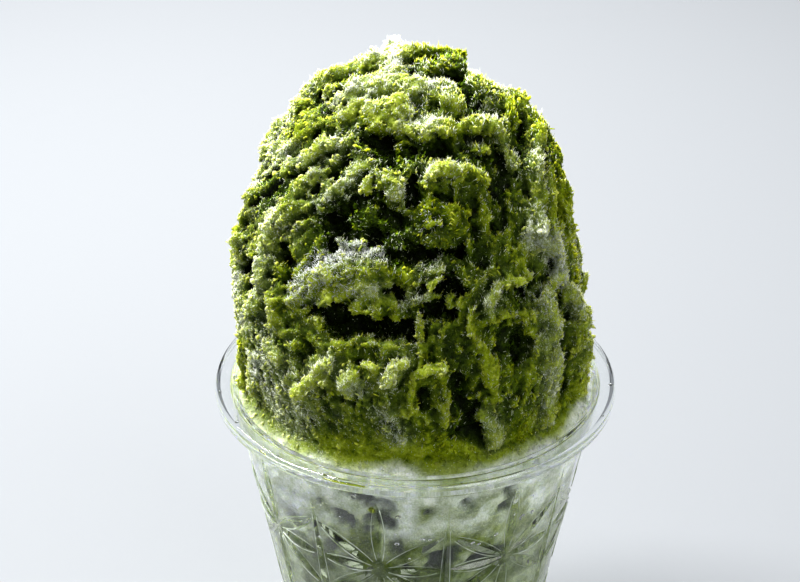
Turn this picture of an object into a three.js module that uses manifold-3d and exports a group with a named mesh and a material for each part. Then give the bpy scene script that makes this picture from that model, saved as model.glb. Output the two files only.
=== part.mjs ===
// Kakigori: a tall mound of shaved ice soaked in green tea syrup, heaped in its clear plastic cup.
// Millimetres, +Z up. The origin is the centre of the circle that the cup stands on.
// Azimuth 0 is the front, towards -Y, and azimuths grow towards +X.

import * as THREE from "three";
import { ConvexGeometry } from "three/addons/geometries/ConvexGeometry.js";
import { mergeVertices } from "three/addons/utils/BufferGeometryUtils.js";
import Module from "manifold-3d";

const wasm = await Module();
wasm.setup();

// ---- The cup's driving dimensions ----
const CUP_HEIGHT = 95;
const RIM_RADIUS = 50.5; // outer edge of the flange
const MOUTH_RADIUS = 46.3; // the outer wall, carried on up to the cup's full height
const FOOT_RADIUS = 29.4; // the outer wall, carried on down to the table
const WALL = 1.5;
const FLOOR_THICKNESS = 1.2;
const FOOT_RING_WIDTH = 4;
const FOOT_RECESS = 0.9; // how far the floor's underside stands off the table
const FOOT_ROUND = 0.8;
const FLANGE_THICKNESS = 1.1;
const LIP_DEPTH = 3; // the flange's edge turns down by this much
const LIP_THICKNESS = 0.9;
const MOUTH_ROUND = 1.8; // the bend from the inner wall into the flange
const CUP_SIDES = 40;

// ---- The cut stars on the wall ----
const STARS_AROUND = 8;
const FIRST_STAR = -12.3; // azimuth of one star, in degrees
const STAR_ROWS = [
  { height: 63.5, reach: 23, slant: 11.8 }, // upper stars: centre, upright ray, rise of a slanting ray
  { height: 25.5, reach: 15, slant: 8.4 },
];
const FLUTE_TOP = 87; // the long upright cuts between the stars
const FLUTE_BOTTOM = 7;
const CUT_WIDTH = 3.3;
const CUT_DEPTH = 0.95;

// ---- The ice's driving dimensions ----
const CLEARANCE = 0.3; // between the ice and the cup
const MOUND_TOP = 182;
const MOUND_RADIUS = 45.5; // at its widest
const MOUND_WIDEST = 112; // height of the widest place
const MOUND_POWER = 2.2; // over 2 is squarer than an ellipse
const MOUND_TUCK = 0.15; // how much the mound draws in below its widest place, for each mm of height
const MOUND_FOOT = 95.6; // where the mound leaves the cup
const SLUSH_TOP = 91.6; // the pale wet ice round the mound's foot
const ICE_SIDES = 52;
const ICE_ROWS = 32; // rings of the mound above the cup

const degrees = THREE.MathUtils.degToRad;

// ---- Solids ----

// A closed mesh as a manifold solid.
function solidOf(geometry) {
  const bare = geometry.clone();
  bare.deleteAttribute("normal");
  bare.deleteAttribute("uv");
  const merged = mergeVertices(bare, 1e-4);
  return new wasm.Manifold(
    new wasm.Mesh({
      numProp: 3,
      vertProperties: new Float32Array(merged.attributes.position.array),
      triVerts: new Uint32Array(merged.index.array),
    }),
  );
}

// A manifold solid as a three.js geometry with flat faces.
function geometryOf(solid) {
  const made = solid.getMesh();
  const geometry = new THREE.BufferGeometry();
  geometry.setAttribute("position", new THREE.BufferAttribute(made.vertProperties, 3));
  geometry.setIndex(new THREE.BufferAttribute(made.triVerts, 1));
  const flat = geometry.toNonIndexed();
  flat.computeVertexNormals();
  return flat;
}

// A profile of [radius, height] points turned about the Z axis.
function turned(profile, sides) {
  const points = profile.map(([radius, height]) => new THREE.Vector2(radius, height));
  const geometry = new THREE.LatheGeometry(points, sides);
  geometry.rotateX(Math.PI / 2);
  return geometry;
}

// Points of an arc, from one angle to another in degrees, where 0 points outwards and 90 up.
function arc(radius, height, size, from, to, steps) {
  return Array.from({ length: steps + 1 }, (_, i) => {
    const angle = degrees(from + ((to - from) * i) / steps);
    return [radius + size * Math.cos(angle), height + size * Math.sin(angle)];
  });
}

// ---- Cup ----

const outerWall = (height) =>
  FOOT_RADIUS + ((MOUTH_RADIUS - FOOT_RADIUS) * height) / CUP_HEIGHT;
const innerWall = (height) => outerWall(height) - WALL;

// The outline of half a section of the cup: underside, outer wall, flange with its lip, inner wall, floor.
function cupProfile() {
  const underFlange = CUP_HEIGHT - FLANGE_THICKNESS;
  const lipInside = RIM_RADIUS - LIP_THICKNESS;
  const lipRound = LIP_THICKNESS / 2;
  const lipMiddle = RIM_RADIUS - lipRound;
  const floorTop = FOOT_RECESS + FLOOR_THICKNESS;
  const mouth = innerWall(CUP_HEIGHT - MOUTH_ROUND);
  return [
    [0, FOOT_RECESS],
    [FOOT_RADIUS - FOOT_ROUND - FOOT_RING_WIDTH, FOOT_RECESS],
    [FOOT_RADIUS - FOOT_ROUND - FOOT_RING_WIDTH, 0],
    ...arc(FOOT_RADIUS - FOOT_ROUND, FOOT_ROUND, FOOT_ROUND, 270, 350, 2),
    [outerWall(CUP_HEIGHT - LIP_DEPTH), CUP_HEIGHT - LIP_DEPTH],
    [outerWall(underFlange) + 0.5, underFlange],
    [lipInside, underFlange],
    ...arc(lipMiddle, CUP_HEIGHT - LIP_DEPTH + lipRound, lipRound, 180, 360, 2),
    ...arc(RIM_RADIUS - FLANGE_THICKNESS, underFlange, FLANGE_THICKNESS, 0, 90, 3),
    ...arc(mouth + MOUTH_ROUND, CUP_HEIGHT - MOUTH_ROUND, MOUTH_ROUND, 90, 180, 2),
    [innerWall(floorTop + FOOT_ROUND), floorTop + FOOT_ROUND],
    [innerWall(floorTop) - FOOT_ROUND, floorTop],
    [0, floorTop],
  ];
}

// A point over the outer wall, proud of it by a distance.
function onWall(azimuth, height, proud) {
  const radius = outerWall(height) + proud;
  const angle = degrees(azimuth);
  return new THREE.Vector3(radius * Math.sin(angle), -radius * Math.cos(angle), height);
}

// The cutter of one leaf-shaped V cut between two places of the wall. It is widest and deepest between its shoulders.
function leafCutter(from, to, shoulder) {
  const overWall = 0.05;
  const points = [onWall(...from, overWall), onWall(...to, overWall)];
  const along = points[1].clone().sub(points[0]).normalize();
  for (const share of new Set([shoulder, 1 - shoulder])) {
    const azimuth = THREE.MathUtils.lerp(from[0], to[0], share);
    const height = THREE.MathUtils.lerp(from[1], to[1], share);
    const out = onWall(azimuth, height, 1).sub(onWall(azimuth, height, 0));
    const side = out.clone().cross(along).normalize().multiplyScalar(CUT_WIDTH / 2);
    points.push(onWall(azimuth, height, overWall).add(side));
    points.push(onWall(azimuth, height, overWall).sub(side));
    points.push(onWall(azimuth, height, -CUT_DEPTH));
    points.push(onWall(azimuth, height, CUT_DEPTH));
  }
  return solidOf(new ConvexGeometry(points));
}

function starCutters() {
  const cutters = [];
  const halfway = 180 / STARS_AROUND;
  for (let star = 0; star < STARS_AROUND; star++) {
    const azimuth = FIRST_STAR + 2 * halfway * star;
    for (const { height, reach, slant } of STAR_ROWS) {
      cutters.push(leafCutter([azimuth, height], [azimuth, height + reach], 0.5));
      cutters.push(leafCutter([azimuth, height - reach], [azimuth, height], 0.5));
      for (const side of [-halfway, halfway])
        for (const rise of [-slant, 0, slant])
          cutters.push(leafCutter([azimuth, height], [azimuth + side, height + rise], 0.5));
    }
    cutters.push(
      leafCutter([azimuth + halfway, FLUTE_BOTTOM], [azimuth + halfway, FLUTE_TOP], 0.12),
    );
  }
  return cutters;
}

function makeCup() {
  let cup = solidOf(turned(cupProfile(), CUP_SIDES));
  for (const cutter of starCutters()) cup = cup.subtract(cutter);
  const material = new THREE.MeshStandardMaterial({
    name: "clear_plastic",
    color: 0xe8eeec,
    roughness: 0.08,
    metalness: 0,
    transparent: true,
    opacity: 0.35,
  });
  const mesh = new THREE.Mesh(geometryOf(cup), material);
  mesh.name = "cup";
  return mesh;
}

// ---- Shaved ice ----

// The mound's even form, before its lumps and hollows.
function moundRadius(height) {
  if (height < MOUND_WIDEST) return MOUND_RADIUS - MOUND_TUCK * (MOUND_WIDEST - height);
  const share = Math.min(1, (height - MOUND_WIDEST) / (MOUND_TOP - MOUND_WIDEST));
  return MOUND_RADIUS * Math.sqrt(1 - share ** MOUND_POWER);
}

// A place on the even mound, by azimuth in degrees and height.
function onMound(azimuth, height) {
  const radius = moundRadius(height);
  const angle = degrees(azimuth);
  return new THREE.Vector3(radius * Math.sin(angle), -radius * Math.cos(angle), height);
}

// Relief of the mound. Each feature runs through places [azimuth, height] on the even mound, stands out by
// "proud", or is sunk where that is below 0, and fades out over "width" to each side.
const RELIEF = [
  // the whole form
  { places: [[92, 136]], width: 26, proud: -3.6 }, // right flank
  { places: [[-72, 118]], width: 14, proud: 0.8 },
  { places: [[116, 175]], width: 8, proud: -5.5 }, // step beside the top block
  { places: [[80, 180]], width: 12, proud: -2.4 },
  { places: [[-100, 178]], width: 5, proud: -1.6 },
  { places: [[-80, 169]], width: 9, proud: -1.4 },
  // crown
  { places: [[-80, 181], [-16, 178]], width: 3.5, proud: 2.2 }, // peak, and the crest in front of it
  { places: [[60, 180.5], [104, 179]], width: 4.5, proud: 1.6 }, // flat-topped block
  { places: [[30, 178.5]], width: 4, proud: -3 }, // under the block
  { places: [[72, 174]], width: 5.5, proud: 3 }, // shoulder
  { places: [[60, 171], [66, 162], [74, 152]], width: 4.5, proud: 2.4 }, // right ridge
  { places: [[84, 160]], width: 5, proud: 1.6 },
  // ledge below the crown, and the dark hollows under it
  { places: [[-50, 176], [-22, 176.5], [2, 175.5], [35, 172]], width: 4.5, proud: 2.6 },
  { places: [[-15, 168]], width: 5.5, proud: -6 },
  { places: [[36, 164]], width: 5.5, proud: -6 },
  { places: [[8, 164.5]], width: 4.5, proud: 2.4 },
  { places: [[25, 161]], width: 4, proud: 1.6 },
  // feathered ridges on the left
  { places: [[-38, 171], [-59, 150]], width: 4, proud: 2.6 },
  { places: [[-24, 166], [-48, 153]], width: 3.6, proud: 2.2 },
  { places: [[-8, 161], [-30, 153]], width: 3.6, proud: 2 },
  { places: [[-70, 166], [-84, 146]], width: 4.5, proud: 1.6 },
  { places: [[-52, 165], [-66, 152]], width: 3.5, proud: -2.2 },
  // the arch on the left of the great hollow
  { places: [[-45, 155], [-57, 140], [-55, 129]], width: 5, proud: 3 },
  { places: [[-66, 138]], width: 5, proud: -2.4 },
  // great hollow, with the tongues of ice that cross it
  { places: [[-24, 142], [8, 143]], width: 9, proud: -7.5 },
  { places: [[-28, 135], [10, 135.5]], width: 6, proud: -2.5 },
  { places: [[-34, 138], [-6, 149]], width: 4.5, proud: 4.5 },
  { places: [[3, 146], [13, 146]], width: 3.5, proud: 3 },
  { places: [[-22, 129.5], [10, 129.5]], width: 4, proud: 2.5 }, // lip
  // lumps and gaps below the lip
  { places: [[-28, 120], [-19, 119]], width: 4, proud: 2.4 },
  { places: [[-6, 122]], width: 3.6, proud: 2.4 },
  { places: [[4, 119]], width: 4, proud: 2.2 },
  { places: [[-12, 124]], width: 4, proud: -2.5 },
  { places: [[12, 116], [13, 105]], width: 5.5, proud: -3 },
  // right of the front
  { places: [[40, 157], [44, 130], [46, 98]], width: 5, proud: 2.2 },
  { places: [[30, 130]], width: 7, proud: -5 },
  { places: [[24, 138], [36, 137]], width: 4, proud: 1.5 },
  { places: [[62, 140], [64, 112]], width: 4.5, proud: -2 },
  { places: [[-40, 103], [-5, 101], [28, 103]], width: 6, proud: 0.9 }, // swell at the foot
];

// The back carries ridges and hollows of the same kind, spread evenly by a spiral.
const BACK_FEATURES = 22;
const BACK_FROM = 100; // azimuth where the back begins
const BACK_SPAN = 160;
const SPIRAL = 0.618;
for (let i = 0; i < BACK_FEATURES; i++) {
  const azimuth = BACK_FROM + BACK_SPAN * ((i * SPIRAL) % 1);
  const height = THREE.MathUtils.lerp(104, 174, (i + 0.5) / BACK_FEATURES);
  const sunk = i % 3 === 1;
  RELIEF.push({
    places: [[azimuth, height], [azimuth + (i % 2 ? 9 : -9), height - 8 - 4 * (i % 3)]],
    width: sunk ? 5.5 : 4.5,
    proud: sunk ? -4 : 2.4,
  });
}

const tracks = RELIEF.map(({ places, width, proud }) => ({
  points: places.map(([azimuth, height]) => onMound(azimuth, height)),
  width,
  proud,
}));

function distanceTo(points, place) {
  if (points.length === 1) return place.distanceTo(points[0]);
  let nearest = Infinity;
  const foot = new THREE.Vector3();
  for (let i = 1; i < points.length; i++) {
    new THREE.Line3(points[i - 1], points[i]).closestPointToPoint(place, true, foot);
    nearest = Math.min(nearest, place.distanceTo(foot));
  }
  return nearest;
}

// Small unevenness between the features, 12 to 20 mm from lump to lump.
function unevenness({ x, y, z }) {
  const coarse = Math.sin(0.36 * x + 1.1) * Math.sin(0.33 * y + 0.4) * Math.sin(0.41 * z);
  const fine = Math.sin(0.55 * (x + y) + 2) * Math.sin(0.6 * (z - x)) * Math.sin(0.5 * (y + z));
  return 0.8 * coarse + 0.5 * fine;
}

function relief(place) {
  let sum = unevenness(place);
  for (const { points, width, proud } of tracks) {
    const share = distanceTo(points, place) / width;
    if (share < 3) sum += proud * Math.exp(-share * share);
  }
  return sum;
}

// Half a section of the ice: flat on the cup's floor, along the wall, in over the slush, then up the mound.
function iceProfile() {
  const floor = FOOT_RECESS + FLOOR_THICKNESS + CLEARANCE;
  const alongWall = (height) => [innerWall(height) - CLEARANCE, height];
  const mound = Array.from({ length: ICE_ROWS + 1 }, (_, i) => {
    const below = (MOUND_WIDEST - MOUND_FOOT) / (MOUND_TOP - MOUND_FOOT);
    const share = i / ICE_ROWS;
    if (share < below * 0.7) {
      const height = THREE.MathUtils.lerp(MOUND_FOOT, MOUND_WIDEST, share / (below * 0.7));
      return [moundRadius(height), height];
    }
    const angle = ((share - below * 0.7) / (1 - below * 0.7)) * (Math.PI / 2);
    const height = MOUND_WIDEST + (MOUND_TOP - MOUND_WIDEST) * Math.sin(angle);
    return [i === ICE_ROWS ? 0 : moundRadius(height), height];
  });
  return [
    [0, floor],
    [innerWall(floor) - FOOT_ROUND - CLEARANCE, floor],
    ...[floor + FOOT_ROUND, 20, 40, 60, 78, SLUSH_TOP].map(alongWall),
    [moundRadius(MOUND_FOOT), SLUSH_TOP + 1.6],
    ...mound,
  ];
}

// Moves each point of the mound out or in along the even form's own normal.
function sculptMound(geometry) {
  const position = geometry.getAttribute("position");
  const place = new THREE.Vector3();
  const step = 0.5;
  for (let i = 0; i < position.count; i++) {
    place.fromBufferAttribute(position, i);
    if (place.z < MOUND_FOOT) continue;
    const slope = (moundRadius(place.z - step) - moundRadius(place.z)) / step;
    const radius = Math.hypot(place.x, place.y);
    const onAxis = radius < 1e-6;
    const out = onAxis
      ? new THREE.Vector3(0, 0, 1)
      : new THREE.Vector3(place.x / radius, place.y / radius, slope).normalize();
    const fade = THREE.MathUtils.smoothstep(place.z, MOUND_FOOT, MOUND_FOOT + 6);
    place.addScaledVector(out, relief(place) * fade);
    position.setXYZ(i, place.x, place.y, place.z);
  }
}

function makeShavedIce() {
  const geometry = turned(iceProfile(), ICE_SIDES);
  sculptMound(geometry);
  const material = new THREE.MeshStandardMaterial({
    name: "green_tea_ice",
    color: 0x66801f,
    roughness: 0.55,
    metalness: 0,
  });
  const mesh = new THREE.Mesh(geometryOf(solidOf(geometry)), material);
  mesh.name = "shaved_ice";
  return mesh;
}

const kakigori = new THREE.Group();
kakigori.add(makeCup(), makeShavedIce());

export default kakigori;
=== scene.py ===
"""Kakigori: green tea shaved ice heaped in its clear plastic cup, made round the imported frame.

The mound is a volume, worked out in millimetres: an even dome, carved with the ridges, ledges and
hollows of the heap and roughened by noise, then meshed. Loose crystals, flakes and needles lie on it.
Meshes are in metres.
"""

import math

import bpy
import numpy as np
import openvdb as vdb
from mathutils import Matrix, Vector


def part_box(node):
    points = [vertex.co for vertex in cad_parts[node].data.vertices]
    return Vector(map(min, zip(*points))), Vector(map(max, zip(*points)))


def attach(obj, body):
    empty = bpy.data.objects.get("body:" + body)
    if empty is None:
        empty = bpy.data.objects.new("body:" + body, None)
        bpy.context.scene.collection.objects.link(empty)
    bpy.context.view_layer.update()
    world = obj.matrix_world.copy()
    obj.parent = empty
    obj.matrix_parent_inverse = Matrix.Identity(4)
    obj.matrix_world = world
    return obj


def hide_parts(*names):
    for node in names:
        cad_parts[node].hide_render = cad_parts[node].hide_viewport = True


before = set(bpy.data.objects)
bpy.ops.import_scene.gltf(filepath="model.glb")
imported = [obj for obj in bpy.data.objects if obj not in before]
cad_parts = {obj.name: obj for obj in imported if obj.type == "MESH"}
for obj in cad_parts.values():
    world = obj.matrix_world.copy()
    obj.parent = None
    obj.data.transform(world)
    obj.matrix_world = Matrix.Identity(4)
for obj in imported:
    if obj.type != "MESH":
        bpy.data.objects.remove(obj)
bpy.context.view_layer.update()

MM = 0.001
BODY = "root"
SEEDS = {"mound": 2024, "hidden": 77, "knobs": 12, "frost": 5, "crystals": 31, "edges": 21, "drops": 9}


def seeded(name):
    """A source of random numbers that gives the same ones each run."""
    return np.random.default_rng(SEEDS[name])


# ---- Camera: the photograph's frame and viewing angle ----
FRAME_WIDTH, FRAME_HEIGHT = 800, 582
FOCAL_PIXELS = 1750.0
CAMERA_ELEVATION = math.radians(28.88)
CAMERA_DISTANCE = 432.0
CAMERA_TARGET = np.array((-3.8, 0.0, 118.5))
CAMERA_BACK = np.array((0.0, -math.cos(CAMERA_ELEVATION), math.sin(CAMERA_ELEVATION)))
CAMERA_UP = np.array((0.0, math.sin(CAMERA_ELEVATION), math.cos(CAMERA_ELEVATION)))
CAMERA_PLACE = CAMERA_TARGET + CAMERA_BACK * CAMERA_DISTANCE
SIGHT_STEPS = np.arange(300.0, 520.0, 0.1)  # distances from the camera at which a line of sight is tried

# ---- Cup, from the frame and its wall's named sizes ----
_, cup_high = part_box("cup")
CUP_HEIGHT = cup_high.z / MM
RIM_RADIUS = cup_high.x / MM
MOUTH_RADIUS = 46.3
FOOT_RADIUS = 29.4
WALL = 1.5
FLOOR_TOP = 2.1
FOOT_RING_WIDTH = 4.0
FOOT_RECESS = 0.9
FOOT_ROUND = 0.8
FLANGE_THICKNESS = 1.1
LIP_DEPTH = 3.0
LIP_THICKNESS = 0.9
LIP_BEVEL = 0.5
MOUTH_ROUND = 1.8
UNDER_ROUND = 0.9  # between the wall and the flange's underside
SHARP_ANGLE = math.radians(24)  # edges sharper than this stay sharp
CUP_SIDES = 192
STARS_AROUND = 8
FIRST_STAR = -12.3
STAR_ROWS = ((63.5, 23.0, 11.8), (25.5, 15.0, 8.4))  # centre, upright ray, rise of a slanting ray
FLUTE_TOP, FLUTE_BOTTOM = 87.0, 7.0
CUT_WIDTH, CUT_DEPTH = 3.3, 0.95

# ---- Mound ----
MOUND_TOP = 182.0
MOUND_RADIUS = 45.5
MOUND_WIDEST = 112.0
MOUND_POWER = 2.2
MOUND_TUCK = 0.15
MOUND_FLOOR = 89.0  # hidden underside, inside the ice that fills the cup
SLUSH_LEVEL = 92.6  # where the wet ice meets the cup's wall
SKIRT_SLOPE = 1.1
SKIRT_HEIGHT = 3.4  # how far the wet ice climbs the mound's foot
FOOT_TOP = 98.0
IN_WALL = 0.2  # how far the ice reaches into the wall, so that no air gap shows
BASE_SHRINK = 1.9  # the dome between the ridges lies this far inside the heap's outline
RIDGE_SHRINK = 3.0
VOXEL = 0.56
MARGIN = 6.0  # empty space kept round the mound in its volume
FADE = 5.0  # the volume's distances are held within this
MERGE = 0.2  # how far flat neighbours of the mound's mesh are joined, from 0 to 1


def outer_wall(height):
    return FOOT_RADIUS + (MOUTH_RADIUS - FOOT_RADIUS) * height / CUP_HEIGHT


def inner_wall(height):
    return outer_wall(height) - WALL


# ---- Meshes from arrays ----

def new_piece(name, points, faces, material, slot, smooth=True):
    """A mesh piece from points in millimetres and an array of triangles. It rides on the one body."""
    mesh = bpy.data.meshes.new(name)
    faces = np.asarray(faces, np.int32)
    mesh.vertices.add(len(points))
    mesh.vertices.foreach_set("co", (np.asarray(points, np.float64) * MM).astype(np.float32).ravel())
    mesh.loops.add(faces.size)
    mesh.loops.foreach_set("vertex_index", faces.ravel())
    mesh.polygons.add(len(faces))
    mesh.polygons.foreach_set("loop_start", np.arange(0, faces.size, 3, dtype=np.int32))
    mesh.update(calc_edges=True)
    mesh.validate()
    if smooth:
        mesh.shade_smooth()
    mesh.materials.append(material)
    piece = bpy.data.objects.new(name, mesh)
    bpy.context.scene.collection.objects.link(piece)
    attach(piece, BODY)
    return piece


def lathe_faces(rows, sides):
    """Triangles of rings stacked on each other. A point below and one above, added last, close the ends."""
    column = np.arange(sides)
    after = (column + 1) % sides
    faces = []
    for start in range(0, (rows - 1) * sides, sides):
        above = start + sides
        faces.append(np.stack((start + column, start + after, above + after), 1))
        faces.append(np.stack((start + column, above + after, above + column), 1))
    last, low = (rows - 1) * sides, rows * sides
    faces.append(np.stack((after, column, np.full(sides, low)), 1))
    faces.append(np.stack((last + column, last + after, np.full(sides, low + 1)), 1))
    return np.concatenate(faces)


def add_value(piece, name, values):
    """Gives each point a value that a material reads."""
    attribute = piece.data.attributes.new(name, "FLOAT", "POINT")
    attribute.data.foreach_set("value", np.asarray(values, np.float32))


# ---- Places on the mound ----

def mound_radius(height):
    height = np.asarray(height, float)
    share = np.clip((height - MOUND_WIDEST) / (MOUND_TOP - MOUND_WIDEST), 0, 1)
    return np.where(
        height < MOUND_WIDEST,
        MOUND_RADIUS - MOUND_TUCK * (MOUND_WIDEST - height),
        MOUND_RADIUS * np.sqrt(1 - share**MOUND_POWER),
    )


def at_azimuth(azimuth, radius, height):
    """The place at an azimuth in degrees, a distance from the axis and a height."""
    angle = math.radians(azimuth)
    return np.array((radius * math.sin(angle), -radius * math.cos(angle), height))


def on_dome(azimuth, height):
    return at_azimuth(azimuth, float(mound_radius(height)), height)


def sight_line(x, y):
    """Points along the line of sight through a photograph pixel."""
    way = -CAMERA_BACK + np.array((x - FRAME_WIDTH / 2, 0, 0)) / FOCAL_PIXELS
    way = way + CAMERA_UP * (FRAME_HEIGHT / 2 - y) / FOCAL_PIXELS
    return CAMERA_PLACE + SIGHT_STEPS[:, None] * (way / np.linalg.norm(way))


def seen_at(x, y):
    """Where a line of sight first meets the even dome, or where it comes nearest to it."""
    line = sight_line(x, y)
    gap = np.hypot(line[:, 0], line[:, 1]) - mound_radius(line[:, 2])
    inside = (gap < 0) & (line[:, 2] < MOUND_TOP)
    if inside.any():
        return line[np.argmax(inside)]
    gap += np.clip(line[:, 2] - MOUND_TOP, 0, None)
    return line[np.argmin(gap)]


SLOPE_STEP = 0.5  # height over which the dome's slope is taken
STEEPEST = 30.0  # the most that a normal rises for each millimetre outwards
ON_AXIS = 0.001  # nearer to the axis than this, the normal is upright
FACING_LEAST, FACING_SPAN = 0.3, 0.35  # how far a place has to face the camera to move along a line of sight
SIGHT_LEAST = 0.5  # the least share of a line of sight that counts as outwards


def outwards(place):
    """The even dome's own normal, near a place."""
    radius = math.hypot(place[0], place[1])
    slope = float(mound_radius(place[2] - SLOPE_STEP) - mound_radius(place[2])) / SLOPE_STEP
    if radius < ON_AXIS:
        return np.array((0.0, 0.0, 1.0))
    normal = np.array((place[0] / radius, place[1] / radius, min(slope, STEEPEST)))
    return normal / np.linalg.norm(normal)


def moved(place, height, shown):
    """A place moved out of the even dome by a height, or into it.

    It moves straight near the outline and on the hidden sides, and along the line of sight for what the
    photograph shows, so that it stays on its pixel.
    """
    way = outwards(place)
    if shown:
        sight = (CAMERA_PLACE - place) / np.linalg.norm(CAMERA_PLACE - place)
        share = float(np.clip((sight @ way - FACING_LEAST) / FACING_SPAN, 0, 1))
        way = way * (1 - share) + sight / max(sight @ way, SIGHT_LEAST) * share
    return place + way * height


# Features of the shown side. Each runs through pixels of the photograph and has a radius in millimetres.
# The last value says how far out of the even dome it lies, or inside it where the value is below 0.
SHOWN_RIDGES = (
    # crown: two-tier block, peak, lumps on the left of it
    (((412, 51), (440, 50), (460, 52)), 2.2, 1.3), (((428, 66), (446, 65), (461, 67)), 2.2, 0.9),
    (((391, 37), (394, 50), (397, 70), (394, 85)), 1.7, 0.8), (((370, 56), (354, 63)), 2.5, 0.6),
    (((340, 70), (322, 77), (310, 83)), 2.5, 0.5), (((332, 90), (352, 84)), 1.9, 0.3),
    # bright shelf across the front of the crown
    (((345, 100), (362, 92), (388, 88), (418, 88), (438, 93)), 2.7, 1.0),
    (((375, 112), (402, 110)), 2.6, 1.2), (((448, 100), (452, 106)), 2.6, 1.4),
    (((472, 85), (484, 84)), 1.8, 0.6), (((472, 93), (484, 98)), 2.4, 0.6),
    (((498, 96), (512, 95), (516, 102)), 2.4, -0.6), (((508, 108), (512, 120)), 2.4, 0.8),
    # second shelf, thinner
    (((404, 126), (424, 130), (446, 124)), 1.8, 1.6),
    (((444, 130), (470, 126), (492, 124), (502, 134)), 1.5, 1.8), (((372, 124), (398, 118)), 2.1, 1.4),
    # crumbs in the middle
    (((425, 184), (432, 172), (448, 170)), 1.8, 1.6), (((458, 174), (474, 172), (484, 180)), 1.4, 1.6),
    (((404, 170), (416, 170)), 1.1, 1.4), (((382, 180), (396, 182), (396, 192)), 1.9, 1.6),
    (((372, 164), (358, 172), (340, 188), (322, 205)), 1.4, 1.4), (((373, 172), (366, 188)), 1.0, 2.0),
    (((474, 150), (484, 150)), 1.0, 0.6), (((460, 138), (461, 166)), 0.7, 0.4),
    (((456, 182), (454, 206)), 1.0, 0.8), (((430, 208), (446, 210), (450, 218)), 1.5, 0.2),
    (((428, 226), (446, 214)), 0.6, 1.2),
    # feathered ridges on the left
    (((352, 144), (326, 148), (308, 162)), 1.6, 1.2), (((318, 172), (304, 184), (296, 204)), 1.9, 1.0),
    (((366, 104), (350, 116), (332, 126)), 1.8, 1.0), (((302, 140), (280, 154), (264, 172)), 1.6, 0.5),
    (((292, 168), (276, 178), (258, 192)), 1.6, 0.8), (((324, 124), (304, 132)), 1.8, 1.0),
    (((312, 116), (314, 122)), 2.1, 0.6), (((306, 90), (298, 106)), 2.1, 0.8),
    (((292, 114), (278, 130)), 1.9, -0.9), (((250, 196), (241, 216), (236, 240)), 2.1, 1.3),
    # the arch
    (((306, 208), (284, 215), (270, 232), (263, 255), (262, 285), (256, 302)), 2.2, 1.4),
    (((308, 226), (318, 236), (322, 250)), 1.4, 0.6), (((254, 302), (246, 318), (244, 336)), 1.9, 0.8),
    (((276, 300), (282, 322), (292, 340)), 2.1, 0.4), (((232, 262), (232, 290), (238, 312)), 1.9, 0.4),
    # tongues of ice across the great hollow
    (((298, 294), (310, 281), (328, 272), (352, 268), (378, 266)), 2.3, 0.5),
    (((338, 262), (344, 250)), 1.0, 0.2), (((352, 260), (359, 245)), 1.0, 0.2),
    (((372, 262), (381, 252)), 1.0, 0.0), (((376, 268), (388, 272)), 1.9, -1.0),
    (((326, 296), (346, 288), (368, 284)), 1.9, -0.4), (((380, 286), (388, 284)), 1.3, -1.0),
    (((306, 256), (318, 268)), 1.4, -0.6), (((400, 274), (412, 274)), 1.8, -1.4),
    (((405, 282), (408, 286)), 1.3, -1.2), (((428, 271), (438, 263), (450, 263)), 1.5, -1.4),
    (((383, 300), (392, 302)), 1.6, -0.4), (((386, 308), (378, 315)), 0.9, 0.0),
    (((403, 302), (407, 310)), 1.0, -0.4), (((400, 299), (416, 299), (434, 296), (453, 296)), 0.6, 0.2),
    (((448, 297), (450, 305)), 0.6, 0.2),
    # lip under it, and the crumbs and strands below
    (((330, 352), (356, 350), (384, 349), (416, 351), (440, 352)), 1.6, -1.6),
    (((330, 362), (318, 372), (304, 388), (297, 393)), 1.1, 2.6), (((331, 367), (325, 382)), 0.8, 3.2),
    (((344, 382), (352, 378)), 1.8, 2.4), (((366, 365), (373, 367)), 1.0, 2.2),
    (((395, 366), (392, 374), (386, 382)), 1.4, 2.8), (((396, 365), (408, 364)), 1.0, 2.8),
    (((412, 376), (428, 371), (441, 370)), 1.1, 2.6), (((441, 374), (447, 398), (445, 424)), 1.0, 1.2),
    (((412, 382), (412, 400), (404, 416)), 0.9, 1.2), (((394, 414), (412, 406)), 1.3, 1.0),
    (((382, 424), (402, 440)), 0.6, 1.4), (((418, 318), (421, 338)), 0.5, 0.8),
    (((419, 346), (422, 368)), 0.5, 1.4), (((267, 350), (280, 358)), 1.8, 0.6),
    (((247, 372), (251, 396)), 1.9, 0.4),
    # right of the front: the long ridge, and the outer ones behind it
    (((526, 98), (532, 120), (537, 150), (530, 172), (538, 200), (536, 232)), 2.1, 1.0),
    (((538, 112), (549, 124), (557, 138), (560, 152)), 2.6, -0.6),
    (((556, 166), (562, 190), (566, 226)), 2.8, -0.5), (((502, 126), (506, 148), (513, 166)), 1.6, 0.8),
    (((552, 170), (548, 200), (553, 240)), 1.4, 1.0),
    (((540, 240), (558, 252), (562, 272), (552, 282)), 1.3, 1.0),
    (((522, 282), (508, 282), (496, 288), (488, 304), (494, 322)), 1.0, 1.0),
    (((502, 316), (520, 313), (540, 318)), 1.2, 0.8),
    (((545, 300), (552, 330), (553, 372), (550, 420)), 2.1, 1.0), (((470, 308), (470, 332)), 0.7, 0.6),
    (((480, 345), (486, 370), (496, 396)), 1.6, 0.6), (((506, 384), (514, 404)), 1.4, 0.8),
    (((488, 414), (495, 440)), 1.8, 0.6), (((572, 296), (585, 312), (586, 336), (583, 390)), 2.6, 0.7),
    (((238, 346), (236, 362), (236, 384)), 1.9, 0.4),
)
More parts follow.
